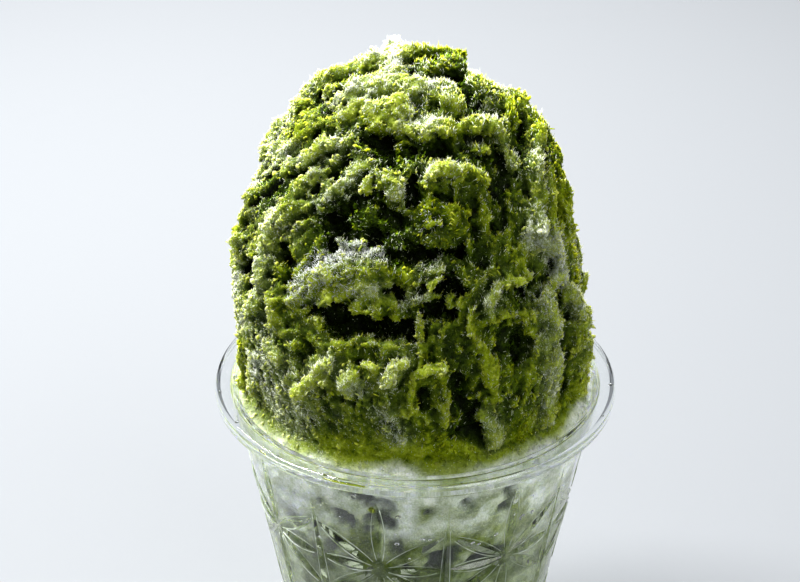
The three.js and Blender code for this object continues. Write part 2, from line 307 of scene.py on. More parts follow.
SHOWN_HOLLOWS = (
    # under the crown
    (((364, 66), (364, 78)), 1.5, -0.4), (((430, 78), (450, 82), (464, 86)), 2.0, -0.6),
    (((310, 86), (318, 92)), 1.4, 0.0), (((352, 106), (362, 112)), 1.2, 0.4),
    (((320, 112), (330, 116)), 1.4, 0.2), (((288, 128), (300, 122)), 1.1, 0.3),
    (((372, 138), (382, 143), (388, 154)), 3.0, -0.6), (((486, 148), (500, 162)), 3.1, -1.0),
    (((466, 136), (486, 134)), 1.7, -0.8), (((408, 152), (440, 149)), 2.4, -0.6),
    (((410, 186), (412, 200)), 2.4, -0.8), (((452, 158), (454, 180)), 1.2, -0.6),
    (((438, 196), (448, 200)), 1.6, -0.8), (((346, 160), (330, 172)), 1.5, 0.0),
    (((384, 212), (396, 222)), 2.0, -0.6), (((334, 226), (352, 232), (374, 236)), 2.8, -2.0),
    (((318, 186), (306, 172)), 1.2, 0.0), (((360, 200), (340, 216), (326, 232)), 2.2, -0.6),
    # the great hollow
    (((328, 241), (338, 248)), 1.7, -4.6), (((366, 246), (384, 251)), 1.6, -4.6),
    (((386, 255), (420, 257), (457, 255)), 2.2, -5.0), (((388, 288), (399, 289)), 2.0, -5.0),
    (((424, 287), (453, 286)), 3.0, -5.8), (((332, 314), (350, 320), (374, 322)), 3.8, -6.8),
    (((378, 327), (414, 328)), 2.8, -6.8), (((424, 310), (446, 309)), 2.1, -5.6),
    (((304, 296), (306, 304)), 1.0, -1.4), (((321, 285), (325, 288)), 1.2, -1.6),
    (((286, 248), (290, 276)), 2.4, -0.8), (((245, 274), (243, 296)), 2.4, -0.8),
    (((308, 350), (300, 356)), 1.7, 0.0), (((358, 358), (374, 352)), 1.7, -0.4),
    (((424, 394), (430, 412)), 1.8, 0.0), (((455, 384), (462, 404), (472, 434)), 3.2, -1.0),
    (((456, 436), (486, 440)), 1.9, -0.6), (((338, 400), (352, 404)), 1.4, 0.0),
    # right of the front
    (((541, 142), (548, 154)), 2.5, -1.2), (((558, 204), (560, 232)), 2.0, -0.8),
    (((500, 182), (502, 222)), 2.7, -0.8), (((474, 196), (476, 226)), 1.5, -0.4),
    (((516, 200), (520, 240)), 1.5, 0.0), (((478, 232), (484, 262)), 1.9, -0.4),
    (((512, 338), (524, 352)), 3.6, -0.8), (((512, 292), (526, 296)), 2.4, -0.8),
    (((572, 348), (574, 400)), 2.0, -0.6), (((528, 170), (524, 196)), 1.2, 0.0),
)
FLANKS = (
    # broad forms: azimuth, height, width, how far they stand proud
    (88, 140, 30, -4.6),
    (-72, 118, 14, 0.8),
    (116, 175, 8, -5.5),
    (80, 180, 12, -2.4),
    (-100, 178, 5, -1.6),
    (-80, 169, 9, -1.4),
)

# The crown steps down to the right. Each step has an x, the height that the ice right of it stays below,
# and how fast that height falls towards the back.
CROWN_STEPS = ((-60.0, 182.4, 0.38), (11.4, 174.4, 0.40), (16.0, 172.0, 0.40), (25.5, 168.0, 0.42))


def flank_rise(x, y, z):
    """How far the broad forms stand out of the even dome at a place."""
    total = 0
    for azimuth, height, width, proud in FLANKS:
        centre = on_dome(azimuth, height)
        square = (x - centre[0]) ** 2 + (y - centre[1]) ** 2 + (z - centre[2]) ** 2
        total = total + proud * np.exp(-square / width**2)
    return total


def on_flank(azimuth, height):
    place = on_dome(azimuth, height)
    return moved(place, float(flank_rise(*place)), False)


GOLDEN_TURN = 0.618034
HIDDEN_FROM, HIDDEN_SPAN = 85, 190  # azimuths that the photograph doesn't show, in degrees
HIDDEN_LOW = 97  # the least height of a hidden hollow
TILT, TILT_SPREAD, TURN_MOST = 62, 34, 60  # of hidden ridges, in degrees
# Kinds of hidden ridges: how many, and the least and the most of their radius, length and height.
HIDDEN_KINDS = ((46, (2.0, 3.2), (12, 24), (99, 158)), (110, (0.9, 1.9), (3, 9), (101, 170)))


def hidden_features():
    """Ridges, crumbs and hollows for the sides and the back, as dense as those of the shown side."""
    ridges, hollows = [], []
    draw = seeded("hidden")
    for count, widths, lengths, heights in HIDDEN_KINDS:
        for i in range(count):
            azimuth = HIDDEN_FROM + HIDDEN_SPAN * ((i * GOLDEN_TURN) % 1)
            height = heights[0] + (heights[1] - heights[0]) * ((i + 0.5) / count) ** 0.85
            length, radius = draw.uniform(*lengths), draw.uniform(*widths)
            tilt = math.radians(draw.normal(TILT, TILT_SPREAD))
            track = [(azimuth, height)]
            for _ in range(2):
                around = math.degrees(length / 2 * math.cos(tilt) / max(float(mound_radius(height)), 8.0))
                azimuth, height = azimuth + around, min(height + length / 2 * math.sin(tilt), MOUND_TOP - 8)
                track.append((azimuth, height))
                tilt += math.radians(draw.uniform(-TURN_MOST, TURN_MOST))
            places = deepened([on_flank(*place) for place in track], draw.uniform(-1.2, 1.1) - RIDGE_SHRINK)
            ridges += [(places[:2], radius), (places[1:], radius * draw.uniform(0.45, 0.9))]
            if i % 3 != 2:
                deep = radius * draw.uniform(0.8, 1.3)
                side = radius + 0.6 * deep
                under = [on_flank(a + draw.uniform(-4, 4), max(h - side, HIDDEN_LOW)) for a, h in track]
                hollows.append((deepened(under, -draw.uniform(0.6, 2.4) - BASE_SHRINK), deep))
    return ridges, hollows


def deepened(track, height, shown=False):
    return np.array([moved(place, height, shown) for place in track])


def seen_track(pixels, height):
    """The track in space that some pixels show."""
    return deepened([seen_at(*pixel) for pixel in pixels], height, shown=True)


def placed(features, shrink):
    """Tracks in space, with their radii, of features given by pixels."""
    return [(seen_track(pixels, out - shrink), radius) for pixels, radius, out in features]


DEEP_HOLLOW = -3.0  # a hollow that lies deeper than this is repeated


def opened(features):
    """Hollows. A deep one is repeated at several depths, so that it still opens to the outside."""
    for pixels, radius, out in features:
        levels = np.arange(out, 0.0, radius) if out < DEEP_HOLLOW else (out,)
        for level in levels:
            yield pixels, radius, level


# ---- Volume ----

GRID_HALF = 50.0
GRID_LOW = np.array((-GRID_HALF, -GRID_HALF, MOUND_FLOOR - 1.0)) - np.array((0.0, 0.0, VOXEL))
GRID_SIZE = (2 * GRID_HALF, 2 * GRID_HALF, MOUND_TOP + MARGIN + 2 - GRID_LOW[2])
GRID_SHAPE = tuple(int(math.ceil(size / VOXEL)) for size in GRID_SIZE)
axes = [GRID_LOW[i] + VOXEL * np.arange(GRID_SHAPE[i], dtype=np.float32) for i in range(3)]
voxel_places = np.meshgrid(*axes, indexing="ij", sparse=True)


def spline_weights(count, period, shift):
    """How much of each lattice value a cubic B-spline gives to each of count voxels."""
    place = np.arange(count) * VOXEL / period + shift
    cell = np.floor(place).astype(int)
    f = place - cell
    weights = np.zeros((count, cell.max() + 4), np.float32)
    rows = np.arange(count)
    shares = ((1 - f) ** 3, 3 * f**3 - 6 * f**2 + 4, -3 * f**3 + 3 * f**2 + 3 * f + 1, f**3)
    for k, share in enumerate(shares):
        weights[rows, cell + k] = share / 6
    return weights


NOISE_GAIN = 2.9  # makes up for what the spline's blending takes from the noise


def even_noise(period, source):
    """Smooth noise over the whole volume, about -2 to 2, with lumps of one period, in millimetres."""
    tables = [spline_weights(n, period, source.random()) for n in GRID_SHAPE]
    lattice = source.standard_normal([t.shape[1] for t in tables]).astype(np.float32)
    for table in reversed(tables):
        lattice = np.tensordot(table, lattice, (1, 2))
    return lattice * np.float32(NOISE_GAIN)


TILE = 96
TILE_SHIFT = 100  # keeps the mound's places above 0 in the tile
TILE_PERIOD = 4  # texels to each lump of the noise tile


def noise_tile(source):
    """A noise that repeats, for lookups at warped places."""
    spectrum = np.fft.rfftn(source.standard_normal((TILE,) * 3))
    f = [np.fft.fftfreq(TILE), np.fft.fftfreq(TILE), np.fft.rfftfreq(TILE)]
    rate = np.sqrt(f[0][:, None, None] ** 2 + f[1][None, :, None] ** 2 + f[2][None, None, :] ** 2)
    band = np.exp(-((rate * TILE_PERIOD * 1.6) ** 2) * 1.2)
    tile = np.fft.irfftn(spectrum * band, s=(TILE,) * 3)
    return (tile / tile.std()).astype(np.float32)


mound_source = seeded("mound")
tile = noise_tile(mound_source)


def looked_up(u, v, w, period):
    """The noise tile at places given in millimetres, blended between texels."""
    scale = TILE_PERIOD / period
    cells, shares = [], []
    for place in (u, v, w):
        place = place * np.float32(scale)
        cell = np.floor(place)
        shares.append((1 - (place - cell), place - cell))
        cells.append((cell.astype(np.int32) % TILE, (cell.astype(np.int32) + 1) % TILE))
    flat = tile.ravel()
    total = np.zeros_like(shares[0][0])
    for i, j, k in np.ndindex(2, 2, 2):
        texel = (cells[0][i] * TILE + cells[1][j]) * TILE + cells[2][k]
        total += flat[texel] * (shares[0][i] * shares[1][j] * shares[2][k])
    return total


def noise_at(points, shift, period):
    """The noise tile at points, moved by a shift so that none lies below 0."""
    return looked_up(*(points.T + shift).astype(np.float32), period)


def even_mound():
    """Distances to the even dome with its broad flanks, below 0 inside."""
    x, y, z = voxel_places
    radius = np.sqrt(x * x + y * y)
    share = np.clip((z - MOUND_WIDEST) / (MOUND_TOP - MOUND_WIDEST), 0, None)
    level = (radius / MOUND_RADIUS) ** 2 + share**MOUND_POWER - 1
    rise = MOUND_POWER * share ** (MOUND_POWER - 1) / (MOUND_TOP - MOUND_WIDEST)
    slope = np.sqrt((2 * radius / MOUND_RADIUS**2) ** 2 + rise**2)
    upper = level / np.maximum(slope, 0.012)
    lower = radius - (MOUND_RADIUS - MOUND_TUCK * (MOUND_WIDEST - z))
    field = np.where(z > MOUND_WIDEST, upper, lower).astype(np.float32)
    return stepped(field - flank_rise(x, y, z) + np.float32(BASE_SHRINK), 0.0)


def stepped(field, allowance):
    """The field without what rises above the crown's steps by more than an allowance."""
    x, y, z = voxel_places
    for edge, height, fall in CROWN_STEPS:
        above = (z - height - allowance + fall * y) / math.hypot(1, fall)
        field = np.maximum(field, np.minimum(above, x - edge))
    return field


def window(points, reach):
    """The slices of the volume that lie within reach of some points."""
    low = np.floor((np.min(points, 0) - reach - GRID_LOW) / VOXEL).astype(int)
    high = np.ceil((np.max(points, 0) + reach - GRID_LOW) / VOXEL).astype(int) + 1
    return tuple(slice(max(a, 0), max(min(b, n), 0)) for a, b, n in zip(low, high, GRID_SHAPE))


def stretch_squares(places, points):
    """For each stretch of a run of points, the squared distances from a grid's places to it."""
    for a, b in zip(points[:-1], points[1:]):
        along = b - a
        t = sum((p - a[i]) * along[i] for i, p in enumerate(places)) / max(float(along @ along), 1e-9)
        t = np.clip(t, 0, 1)
        yield sum((p - a[i] - t * along[i]) ** 2 for i, p in enumerate(places))


def track_distance(box, points):
    """Distances from the voxels of a window to a run of points."""
    places = np.meshgrid(*[axis[s] for axis, s in zip(axes, box)], indexing="ij", sparse=True)
    return np.sqrt(np.minimum.reduce(list(stretch_squares(places, points)))).astype(np.float32)


CARVE_REACH = 4.5  # how far beyond its radius a feature can still change the field
KNOBBLY = 0.2  # how much a feature's radius varies along it
BLEND_SHARE = 0.75  # of its radius, over which a feature runs into the mound
BLEND_LEAST, BLEND_MOST = 0.5, 2.6


def carve(field, knobs, track, radius, sunk):
    """Joins a ridge to the mound's field, or takes a hollow from it."""
    box = window(track, radius + CARVE_REACH)
    if any(s.start >= s.stop for s in box):
        return
    part = field[box]
    other = track_distance(box, track) - radius * (1 + KNOBBLY * knobs[box])
    sign = -1 if sunk else 1
    blend = min(max(BLEND_SHARE * radius, BLEND_LEAST), BLEND_MOST)
    mix = np.maximum(blend - np.abs(part * sign - other), 0) ** 2 / (4 * blend)
    field[box] = sign * (np.minimum(part * sign, other) - mix)


def ramp(values, low, high):
    t = np.clip((values - low) / (high - low), 0, 1)
    return t * t * (3 - 2 * t)


# The torn strands of each side of the heap: the azimuth and height of its middle, how far it reaches
# round in degrees and up in millimetres, and how far its strands lean to the right, from upright, in degrees.
STRANDS = (
    (-52, 146, 38, 30, 50),
    (-42, 104, 34, 16, -38),
    (2, 118, 24, 34, 12),
    (48, 136, 34, 44, 4),
    (110, 130, 40, 40, -14),
    (165, 140, 36, 34, 32),
    (-130, 120, 40, 34, -26),
)


def strand_sides(azimuth, height):
    """How much each side's strands count at some places, and their direction."""
    for centre, middle, round_reach, up_reach, lean in STRANDS:
        a, t = math.radians(centre), math.radians(lean)
        way = np.array((math.cos(a) * math.sin(t), math.sin(a) * math.sin(t), math.cos(t)), np.float32)
        turn = (azimuth - centre + 180) % 360 - 180
        yield np.exp(-((turn / round_reach) ** 2) - ((height - middle) / up_reach) ** 2), way


ALL_WAYS = 0.35  # how much the ridges that run all ways count
STRAND_RIDGE = 0.75  # height of a ridge's crest, where the noise is 0
STRAND_LEAST = 0.04  # the least weight that is worked out


def torn_ice(x, y, z, azimuth, period, stretch, ragged):
    """Ridged noise whose ridges follow the strands of each side. Where no side reaches they run all ways."""
    total = ALL_WAYS * (STRAND_RIDGE - np.abs(looked_up(y + ragged, z * 1.3, x, period)))
    weights = np.full_like(x, ALL_WAYS)
    for weight, way in strand_sides(azimuth, z):
        weight = weight.astype(np.float32)
        near = np.flatnonzero(weight > STRAND_LEAST)
        weight = weight[near]
        along = (x[near] * way[0] + y[near] * way[1] + z[near] * way[2]) * np.float32(1 / stretch - 1)
        u, v, w = x[near] + along * way[0], y[near] + along * way[1], z[near] + along * way[2]
        total[near] += weight * (STRAND_RIDGE - np.abs(looked_up(u + ragged, v + 70, w, period)))
        weights[near] += weight
    return total / weights


WET_FOOT = (97, 110)  # heights between which the wet, smooth foot gives way to torn ice


def roughen(field):
    """Lumps, torn strands, flakes and grains, over the band of voxels near the surface."""
    band = np.flatnonzero(np.abs(field) < FADE)
    i, j, k = np.unravel_index(band, GRID_SHAPE)
    x, y, z = axes[0][i] + TILE_SHIFT, axes[1][j] + TILE_SHIFT, axes[2][k]
    depth = field.ravel()[band]
    azimuth = np.degrees(np.arctan2(x - TILE_SHIFT, TILE_SHIFT - y))
    calm = ramp(z, *WET_FOOT)
    warp = looked_up(x, y, z, 10.0)
    warp_up = looked_up(y + 31, z, x, 10.0)
    xs, ys = x + 1.2 * warp, y + 1.2 * warp_up
    zs = z - 0.8 * depth + 1.2 * warp  # strands reach upwards as they stand out
    crumbs = ramp(looked_up(z, x + 9, y, 13.0), -0.6, 0.9)  # crumbly in some places, combed in others
    lumps = 0.8 - np.abs(looked_up(xs, ys, zs, 5.4))
    sheets = 1.5 * looked_up(xs + 63, zs * 0.8, ys, 8.0) + 0.25 * looked_up(ys, xs, zs + 12, 1.8)
    sheets -= np.floor(sheets)
    shingles = np.minimum(sheets, 5 * (1 - sheets)) - 0.42  # rise slowly, and break off
    grit = 0.75 - np.abs(looked_up(zs * 1.2, xs + 40, ys, 1.3))
    change = lumps * (0.08 + 0.22 * crumbs * calm)
    change += 0.6 * shingles * (0.1 + 0.9 * calm)
    change += 0.62 * torn_ice(xs, ys, zs, azimuth, 2.4, 5.5, 17) * (0.2 + 0.8 * calm)
    change += 0.56 * torn_ice(xs, ys, zs, azimuth, 1.2, 6.5, 51) * (0.6 + 0.4 * calm)
    change += 0.1 * grit * (0.3 + 0.7 * crumbs)
    change += 0.1 * mound_source.standard_normal(len(band)).astype(np.float32)
    field.ravel()[band] = depth - change + change.mean()
    return field


def box_blur(values, reach):
    """A running mean over 2 * reach + 1 voxels each way."""
    size = 2 * reach + 1
    for axis in range(3):
        padded = np.pad(values, [(reach + 1, reach) if a == axis else (0, 0) for a in range(3)], "edge")
        sums = np.cumsum(padded, axis=axis, dtype=np.float64).astype(np.float32)
        ends = [slice(None)] * 3
        starts = [slice(None)] * 3
        ends[axis] = slice(size, None)
        starts[axis] = slice(None, -size)
        values = (sums[tuple(ends)] - sums[tuple(starts)]) / size
    return values


def largest_body(points, faces):
    """The mesh without the crumbs that float free of it."""
    edges = np.concatenate((faces[:, :2], faces[:, 1:]))
    label = np.arange(len(points))
    while True:
        low = np.minimum(label[edges[:, 0]], label[edges[:, 1]])
        new = label.copy()
        np.minimum.at(new, edges[:, 0], low)
        np.minimum.at(new, edges[:, 1], low)
        new = new[new]
        new = new[new]
        if (new == label).all():
            break
        label = new
    kept = np.argmax(np.bincount(label))
    faces = faces[label[faces[:, 0]] == kept]
    used, faces = np.unique(faces, return_inverse=True)
    return points[used], faces.reshape(-1, 3)


def make_mound_volume():
    """The mound as distances from its surface, below 0 inside, and the even dome in the same terms."""
    dome = even_mound()
    field = dome.copy()
    ridges, hollows = hidden_features()
    knobs = even_noise(2.6, seeded("knobs"))
    for track, radius in placed(opened(SHOWN_HOLLOWS), BASE_SHRINK) + hollows:
        carve(field, knobs, track, radius, sunk=True)
    for track, radius in placed(SHOWN_RIDGES, RIDGE_SHRINK) + ridges:
        carve(field, knobs, track, radius, sunk=False)
    field = roughen(stepped(field, 1.6))
    x, y, z = voxel_places
    radius = np.sqrt(x * x + y * y)
    skirt = radius - (inner_wall(z) + IN_WALL - np.clip(z - SLUSH_LEVEL, 0, None) * SKIRT_SLOPE)
    skirt = np.maximum(skirt, z - (SLUSH_LEVEL + SKIRT_HEIGHT))
    field = np.where(z < FOOT_TOP, np.minimum(field, skirt), field)
    wall = radius - (inner_wall(z) + IN_WALL)
    field = np.where(z < CUP_HEIGHT + 0.2, np.maximum(field, wall), field)
    field = np.maximum(field, MOUND_FLOOR - z)
    return np.clip(field, -FADE, FADE).astype(np.float32), dome


def mound_mesh(field):
    """The surface where the field is 0, as points and triangles."""
    grid = vdb.FloatGrid()
    grid.background = FADE
    grid.copyFromArray(field)
    points, triangles, quads = grid.convertToPolygons(0.0, MERGE)
    points = points.astype(np.float64) * VOXEL + GRID_LOW
    faces = np.concatenate((triangles, quads[:, (0, 1, 2)], quads[:, (0, 2, 3)])).astype(np.int64)
    return largest_body(points, faces)


def face_vectors(points, faces):
    """Each triangle's normal, as long as twice its area."""
    a, b, c = points[faces[:, 0]], points[faces[:, 1]], points[faces[:, 2]]
    return np.cross(b - a, c - a)


def point_normals(points, faces):
    across = face_vectors(points, faces)
    normals = np.zeros_like(points)
    for corner in range(3):
        for axis in range(3):
            normals[:, axis] += np.bincount(faces[:, corner], across[:, axis], len(points))
    return normals / np.maximum(np.linalg.norm(normals, axis=1, keepdims=True), 1e-12)


# ---- Where frost lies ----

# Frosty places of the shown side, through pixels of the photograph: reach in millimetres, and strength.
SHOWN_FROST = (
    (((389, 36), (397, 56), (398, 84)), 3.2, 0.6),
    (((345, 98), (385, 88), (420, 88), (440, 94)), 3.6, 0.7), (((470, 92), (488, 98)), 3.0, 0.6),
    (((498, 86), (521, 84)), 3.0, 0.6),
    (((525, 95), (530, 115), (536, 150), (530, 172), (538, 200), (536, 232)), 2.8, 0.7),
    (((486, 118), (502, 132), (512, 150), (516, 170)), 2.8, 0.6),
    (((302, 92), (288, 112), (270, 140)), 3.0, 0.7),
    (((262, 148), (246, 190), (236, 240), (232, 290)), 3.4, 0.8),
    (((302, 140), (278, 154), (262, 172)), 2.6, 0.8), (((352, 142), (326, 148), (308, 162)), 2.6, 0.8),
    (((372, 164), (340, 188), (322, 205)), 2.0, 0.7), (((318, 172), (296, 204)), 2.4, 0.5),
    (((402, 125), (425, 128), (446, 122)), 2.6, 0.8), (((380, 178), (398, 190)), 2.4, 0.7),
    (((425, 172), (448, 168)), 2.2, 0.7),
    (((302, 208), (280, 215), (268, 232), (262, 255), (262, 285), (256, 302)), 3.0, 0.9),
    (((296, 294), (308, 276), (326, 262), (340, 252), (360, 248), (384, 254)), 2.4, 1.2),
    (((322, 300), (345, 292), (366, 288), (386, 286)), 1.6, 0.7), (((400, 300), (424, 298)), 1.6, 0.3),
    (((424, 268), (440, 262)), 1.8, 0.5), (((536, 236), (558, 252), (562, 274)), 2.8, 1.0),
    (((508, 282), (496, 290), (488, 306)), 2.2, 0.8),
    (((545, 300), (552, 330), (553, 372), (550, 420)), 2.6, 1.0),
    (((576, 300), (588, 330), (586, 396)), 3.0, 0.6), (((330, 362), (318, 372), (297, 393)), 2.2, 0.8),
    (((346, 380), (354, 386)), 2.6, 0.8), (((402, 363), (386, 382)), 2.2, 0.8),
    (((248, 372), (254, 404)), 3.0, 0.9), (((382, 416), (402, 440)), 2.4, 0.9),
    (((488, 412), (496, 442)), 2.4, 0.6),
    # pale mist over the lower left
    (((244, 340), (252, 366), (264, 398), (286, 420)), 6.0, 0.9),
    (((270, 340), (282, 372), (300, 408)), 4.0, 0.6),
)
# Feathery white hoar of the shown side, in the same terms.
SHOWN_HOAR = (
    (((298, 292), (306, 278), (322, 264), (338, 256), (343, 250)), 2.0, 1.1),
    (((338, 262), (352, 252), (358, 246), (366, 252), (380, 254)), 1.7, 0.9),
    (((310, 288), (326, 276), (342, 270), (354, 268)), 1.7, 0.8),
    (((338, 290), (352, 288), (360, 296)), 1.2, 0.7), (((390, 38), (395, 52), (400, 70)), 2.0, 0.25),
    (((380, 92), (404, 100), (418, 110)), 2.4, 0.2), (((425, 216), (440, 225)), 1.2, 0.25),
    (((382, 416), (402, 440)), 1.0, 0.35), (((556, 240), (562, 262), (560, 280)), 2.4, 0.6),
    (((544, 296), (550, 320)), 2.0, 0.5),
)
# Where the ice is painted darker and deep green, as painted shade, and where it is painted paler, as painted
# light, in the same terms.
SHOWN_PAINTED_SHADE = (
    (((436, 62), (468, 68)), 7.5, 0.9), (((448, 86), (468, 96)), 5.0, 0.8),
    (((322, 80), (350, 88)), 7.0, 0.6), (((296, 112), (322, 124)), 7.0, 0.7),
    (((482, 96), (508, 104), (522, 140)), 5.0, 0.35), (((238, 246), (240, 285)), 3.0, 0.4),
    (((536, 106), (550, 132), (556, 160)), 5.5, 0.55), (((520, 130), (522, 165)), 4.0, 0.3),
    (((362, 142), (382, 152), (398, 160)), 6.0, 0.8), (((254, 190), (270, 184), (290, 198)), 5.5, 0.65),
    (((336, 222), (356, 232), (386, 236)), 6.5, 0.9), (((466, 138), (482, 166)), 5.0, 0.35),
    (((455, 365), (460, 385)), 4.0, 0.3),
)
SHOWN_PAINTED_LIGHT = (
    (((374, 108), (400, 124)), 6.0, 0.35), (((264, 228), (284, 222)), 4.0, 0.3),
    (((526, 250), (532, 275)), 5.0, 0.45), (((484, 332), (530, 342), (535, 380)), 5.0, 0.25),
    (((294, 392), (312, 380), (330, 364)), 3.0, 0.65), (((340, 384), (350, 388)), 3.4, 0.75),
    (((366, 366), (374, 366)), 2.4, 0.5), (((386, 384), (396, 368), (408, 364)), 3.0, 0.55),
    (((322, 284), (340, 292), (372, 290), (392, 292)), 3.5, 0.6), (((344, 266), (370, 268)), 2.5, 0.4),
    (((268, 370), (300, 372), (345, 370)), 5.0, 0.2), (((414, 376), (440, 371)), 2.2, 0.3),
    (((340, 444), (385, 450), (420, 450)), 4.0, 0.35),
)
FROST_CELL, HOAR_CELL = 2.0, 1.0  # of the coarse grids they're worked out on, in millimetres
FROST_HEIGHT = -2.0  # its tracks lie just inside the even dome


def frost_field(tracks, cell):
    """Strength of frost round its tracks, on a coarse grid of its own."""
    shape = [int(2 * GRID_HALF / cell) + 2] * 2 + [int((MOUND_TOP + MARGIN - GRID_LOW[2]) / cell) + 2]
    places = [GRID_LOW[i] + cell * np.arange(shape[i]) for i in range(3)]
    places = np.meshgrid(*places, indexing="ij", sparse=True)
    total = np.zeros(shape)
    for points, reach, strength in tracks:
        for square in stretch_squares(places, points):
            total = np.maximum(total, strength * np.exp(-square / reach**2))
    return total


def sampled(values, points, cell):
    """Values of a grid at points, blended between its cells."""
    place = (points - GRID_LOW) / cell
    place = np.clip(place, 0, np.array(values.shape) - 1.001)
    low = place.astype(int)
    f = place - low
    total = 0
    for corner in np.ndindex(2, 2, 2):
        share = np.prod(np.where(corner, f, 1 - f), axis=1)
        c = low + corner
        total = total + values[c[:, 0], c[:, 1], c[:, 2]] * share
    return total


def shown_at(points, features, cell=FROST_CELL, hidden=()):
    """Strength, at points, of features that are given by pixels and of hidden ones."""
    tracks = [(seen_track(pixels, FROST_HEIGHT), reach, share) for pixels, reach, share in features]
    return sampled(frost_field([*tracks, *hidden], cell), points, cell)


def blurred_at(points, volume, most, reach):
    """The volume's distances at points, held within a most and blurred over a reach in millimetres."""
    return sampled(box_blur(np.clip(volume, -most, most), round(reach / VOXEL)), points, VOXEL)


def hidden_frost():
    """Tracks of frost along the hidden ridges, with their reach and strength."""
    ridges, _ = hidden_features()
    draw = seeded("frost")
    return [(track, draw.uniform(2.0, 3.4), draw.uniform(0.1, 0.6)) for track, _ in ridges]


# ---- Mound pieces ----

SECTORS = (("front", 0), ("right", 90), ("back", 180), ("left", -90))
SEAM_STRAY = 3  # degrees by which the seams between the four pieces wander
LAMPS_FROM = math.radians(-125)  # azimuth between the two strong lamps
LEFT_FLANK = -85  # azimuth of the frosty flank, in degrees


def lamp_side(angles):
    """How far a side faces the two strong lamps, from 0 to 1, by its azimuth in radians."""
    return ramp(np.cos(angles - LAMPS_FROM), -0.1, 0.6)


def mound_values(points, normals, volume, dome):
    """What the ice's material reads at each point: how raised, open, frosty and pale the ice is. Raised and
    open make its colour paler, sunk and creased places darker: painted light and painted shade.
    """
    x, y, z = points.T
    near = blurred_at(points, volume, 2.5, 1.4)
    pores = blurred_at(points, volume, 1.5, 0.7)
    wide = blurred_at(points, volume, FADE, 3.4)
    sunk = np.clip(sampled(dome, points, VOXEL), -6, 1.5)
    frost = shown_at(points, SHOWN_FROST, hidden=hidden_frost())
    # Painted shade and painted light from the two tables above; thin holds the painted light.
    painted_shade, thin = shown_at(points, SHOWN_PAINTED_SHADE), shown_at(points, SHOWN_PAINTED_LIGHT)
    patches = noise_at(points, 50, 6.0)
    azimuth = np.arctan2(x, -y)
    # The foot on the side that the lamps light. It is painted darker and less pale there: painted shade.
    lit_foot = lamp_side(azimuth) * ramp(z, 104, 94)
    from_left = (np.degrees(azimuth) - LEFT_FLANK + 180) % 360 - 180
    flank = np.exp(-((from_left / 50) ** 2)) * ramp(z, 92, 112)
    # Painted shade over the front middle of the heap.
    shade = 0.2 * np.exp(-(((from_left - 92) / 26) ** 2) - ((z - 143) / 12) ** 2)
    # Frost favours faces that look up, where it settles, and faces that look left towards the key lamp, which
    # is painted highlight.
    up_and_lamp_facing = np.clip(0.18 + 0.4 * normals[:, 2] - 0.3 * normals[:, 0] + 0.3 * near, 0.1, 0.9)
    bloom = 0.1 + 0.2 * flank + 0.06 * ramp(z, 156, 176)
    frosty = (bloom * up_and_lamp_facing + frost * (0.6 + 0.4 * up_and_lamp_facing)) * (1 + 0.45 * patches) * (1 - painted_shade)
    # Painted light and shade: paler low on the foot, on the top's left where the lamps fall, on the left
    # flank and by the tables above; darker by the tables and on the lamp-lit foot.
    painted_light_and_shade = 0.36 * ramp(z, 106, 95) + 0.25 * ramp(z, 152, 172) * ramp(x, 16, 0)
    painted_light_and_shade += thin - painted_shade + 0.08 * flank
    painted_light_and_shade -= 0.3 * lit_foot
    return {
        "lift": np.clip(0.5 + 0.45 * near + 0.7 * pores, 0, 1),
        "open": np.clip(0.6 + 0.22 * wide + 0.12 * sunk + painted_light_and_shade - shade, 0, 1.25),
        "frost": np.clip(frosty, 0, 1),
        "pale": (0.86 - 0.4 * lit_foot) * ramp(z + 0.7 * patches, 95.2, 92.9),
    }


def make_mound(material):
    """The mound in four pieces, and what the scattered crystals need to know of its surface."""
    volume, dome = make_mound_volume()
    points, faces = mound_mesh(volume)
    normals = point_normals(points, faces)
    values = mound_values(points, normals, volume, dome)
    middle = points[faces].mean(1)
    azimuth = np.degrees(np.arctan2(middle[:, 0], -middle[:, 1])) + SEAM_STRAY * noise_at(middle, 50, 4.0)
    for name, centre in SECTORS:
        part = faces[np.abs((azimuth - centre + 180) % 360 - 180) <= 45]
        used, part = np.unique(part, return_inverse=True)
        part = part.reshape(-1, 3)
        piece = new_piece(f"ice_{name}", points[used], part, material, "green_tea_ice", smooth=False)
        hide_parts("shaved_ice")
        for key, value in values.items():
            add_value(piece, key, value[used])
    return points, faces, normals, values


# ---- Ice inside the cup ----

# Where the ice behind the wall has melted away from it: pixel of the photograph and radius in millimetres.
SHOWN_MELTS = (
    ((357, 494), 4.6), ((368, 506), 3.2), ((382, 508), 3.0), ((385, 526), 2.6), ((340, 520), 2.4),
    ((467, 505), 1.9), ((514, 494), 2.7), ((506, 508), 1.8), ((330, 545), 2.8), ((345, 566), 2.6),
    ((440, 562), 3.4), ((474, 566), 3.4),
)
# Where green syrup has run down behind the wall, in the same terms.
SHOWN_STAINS = (((458, 514), 7.0), ((500, 516), 6.0), ((352, 512), 6.0), ((372, 540), 5.0))
FILL_ROWS, FILL_SIDES = 96, 200
FILL_TOP = MOUND_FLOOR + 0.5


def wall_distance(pixel, angles, heights):
    """Millimetres along the cup's wall from the point that a pixel of the photograph shows."""
    azimuth, height = wall_seen_at(*pixel)
    turn = (angles - math.radians(azimuth) + math.pi) % (2 * math.pi) - math.pi
    return np.hypot(turn * inner_wall(heights), heights - height)


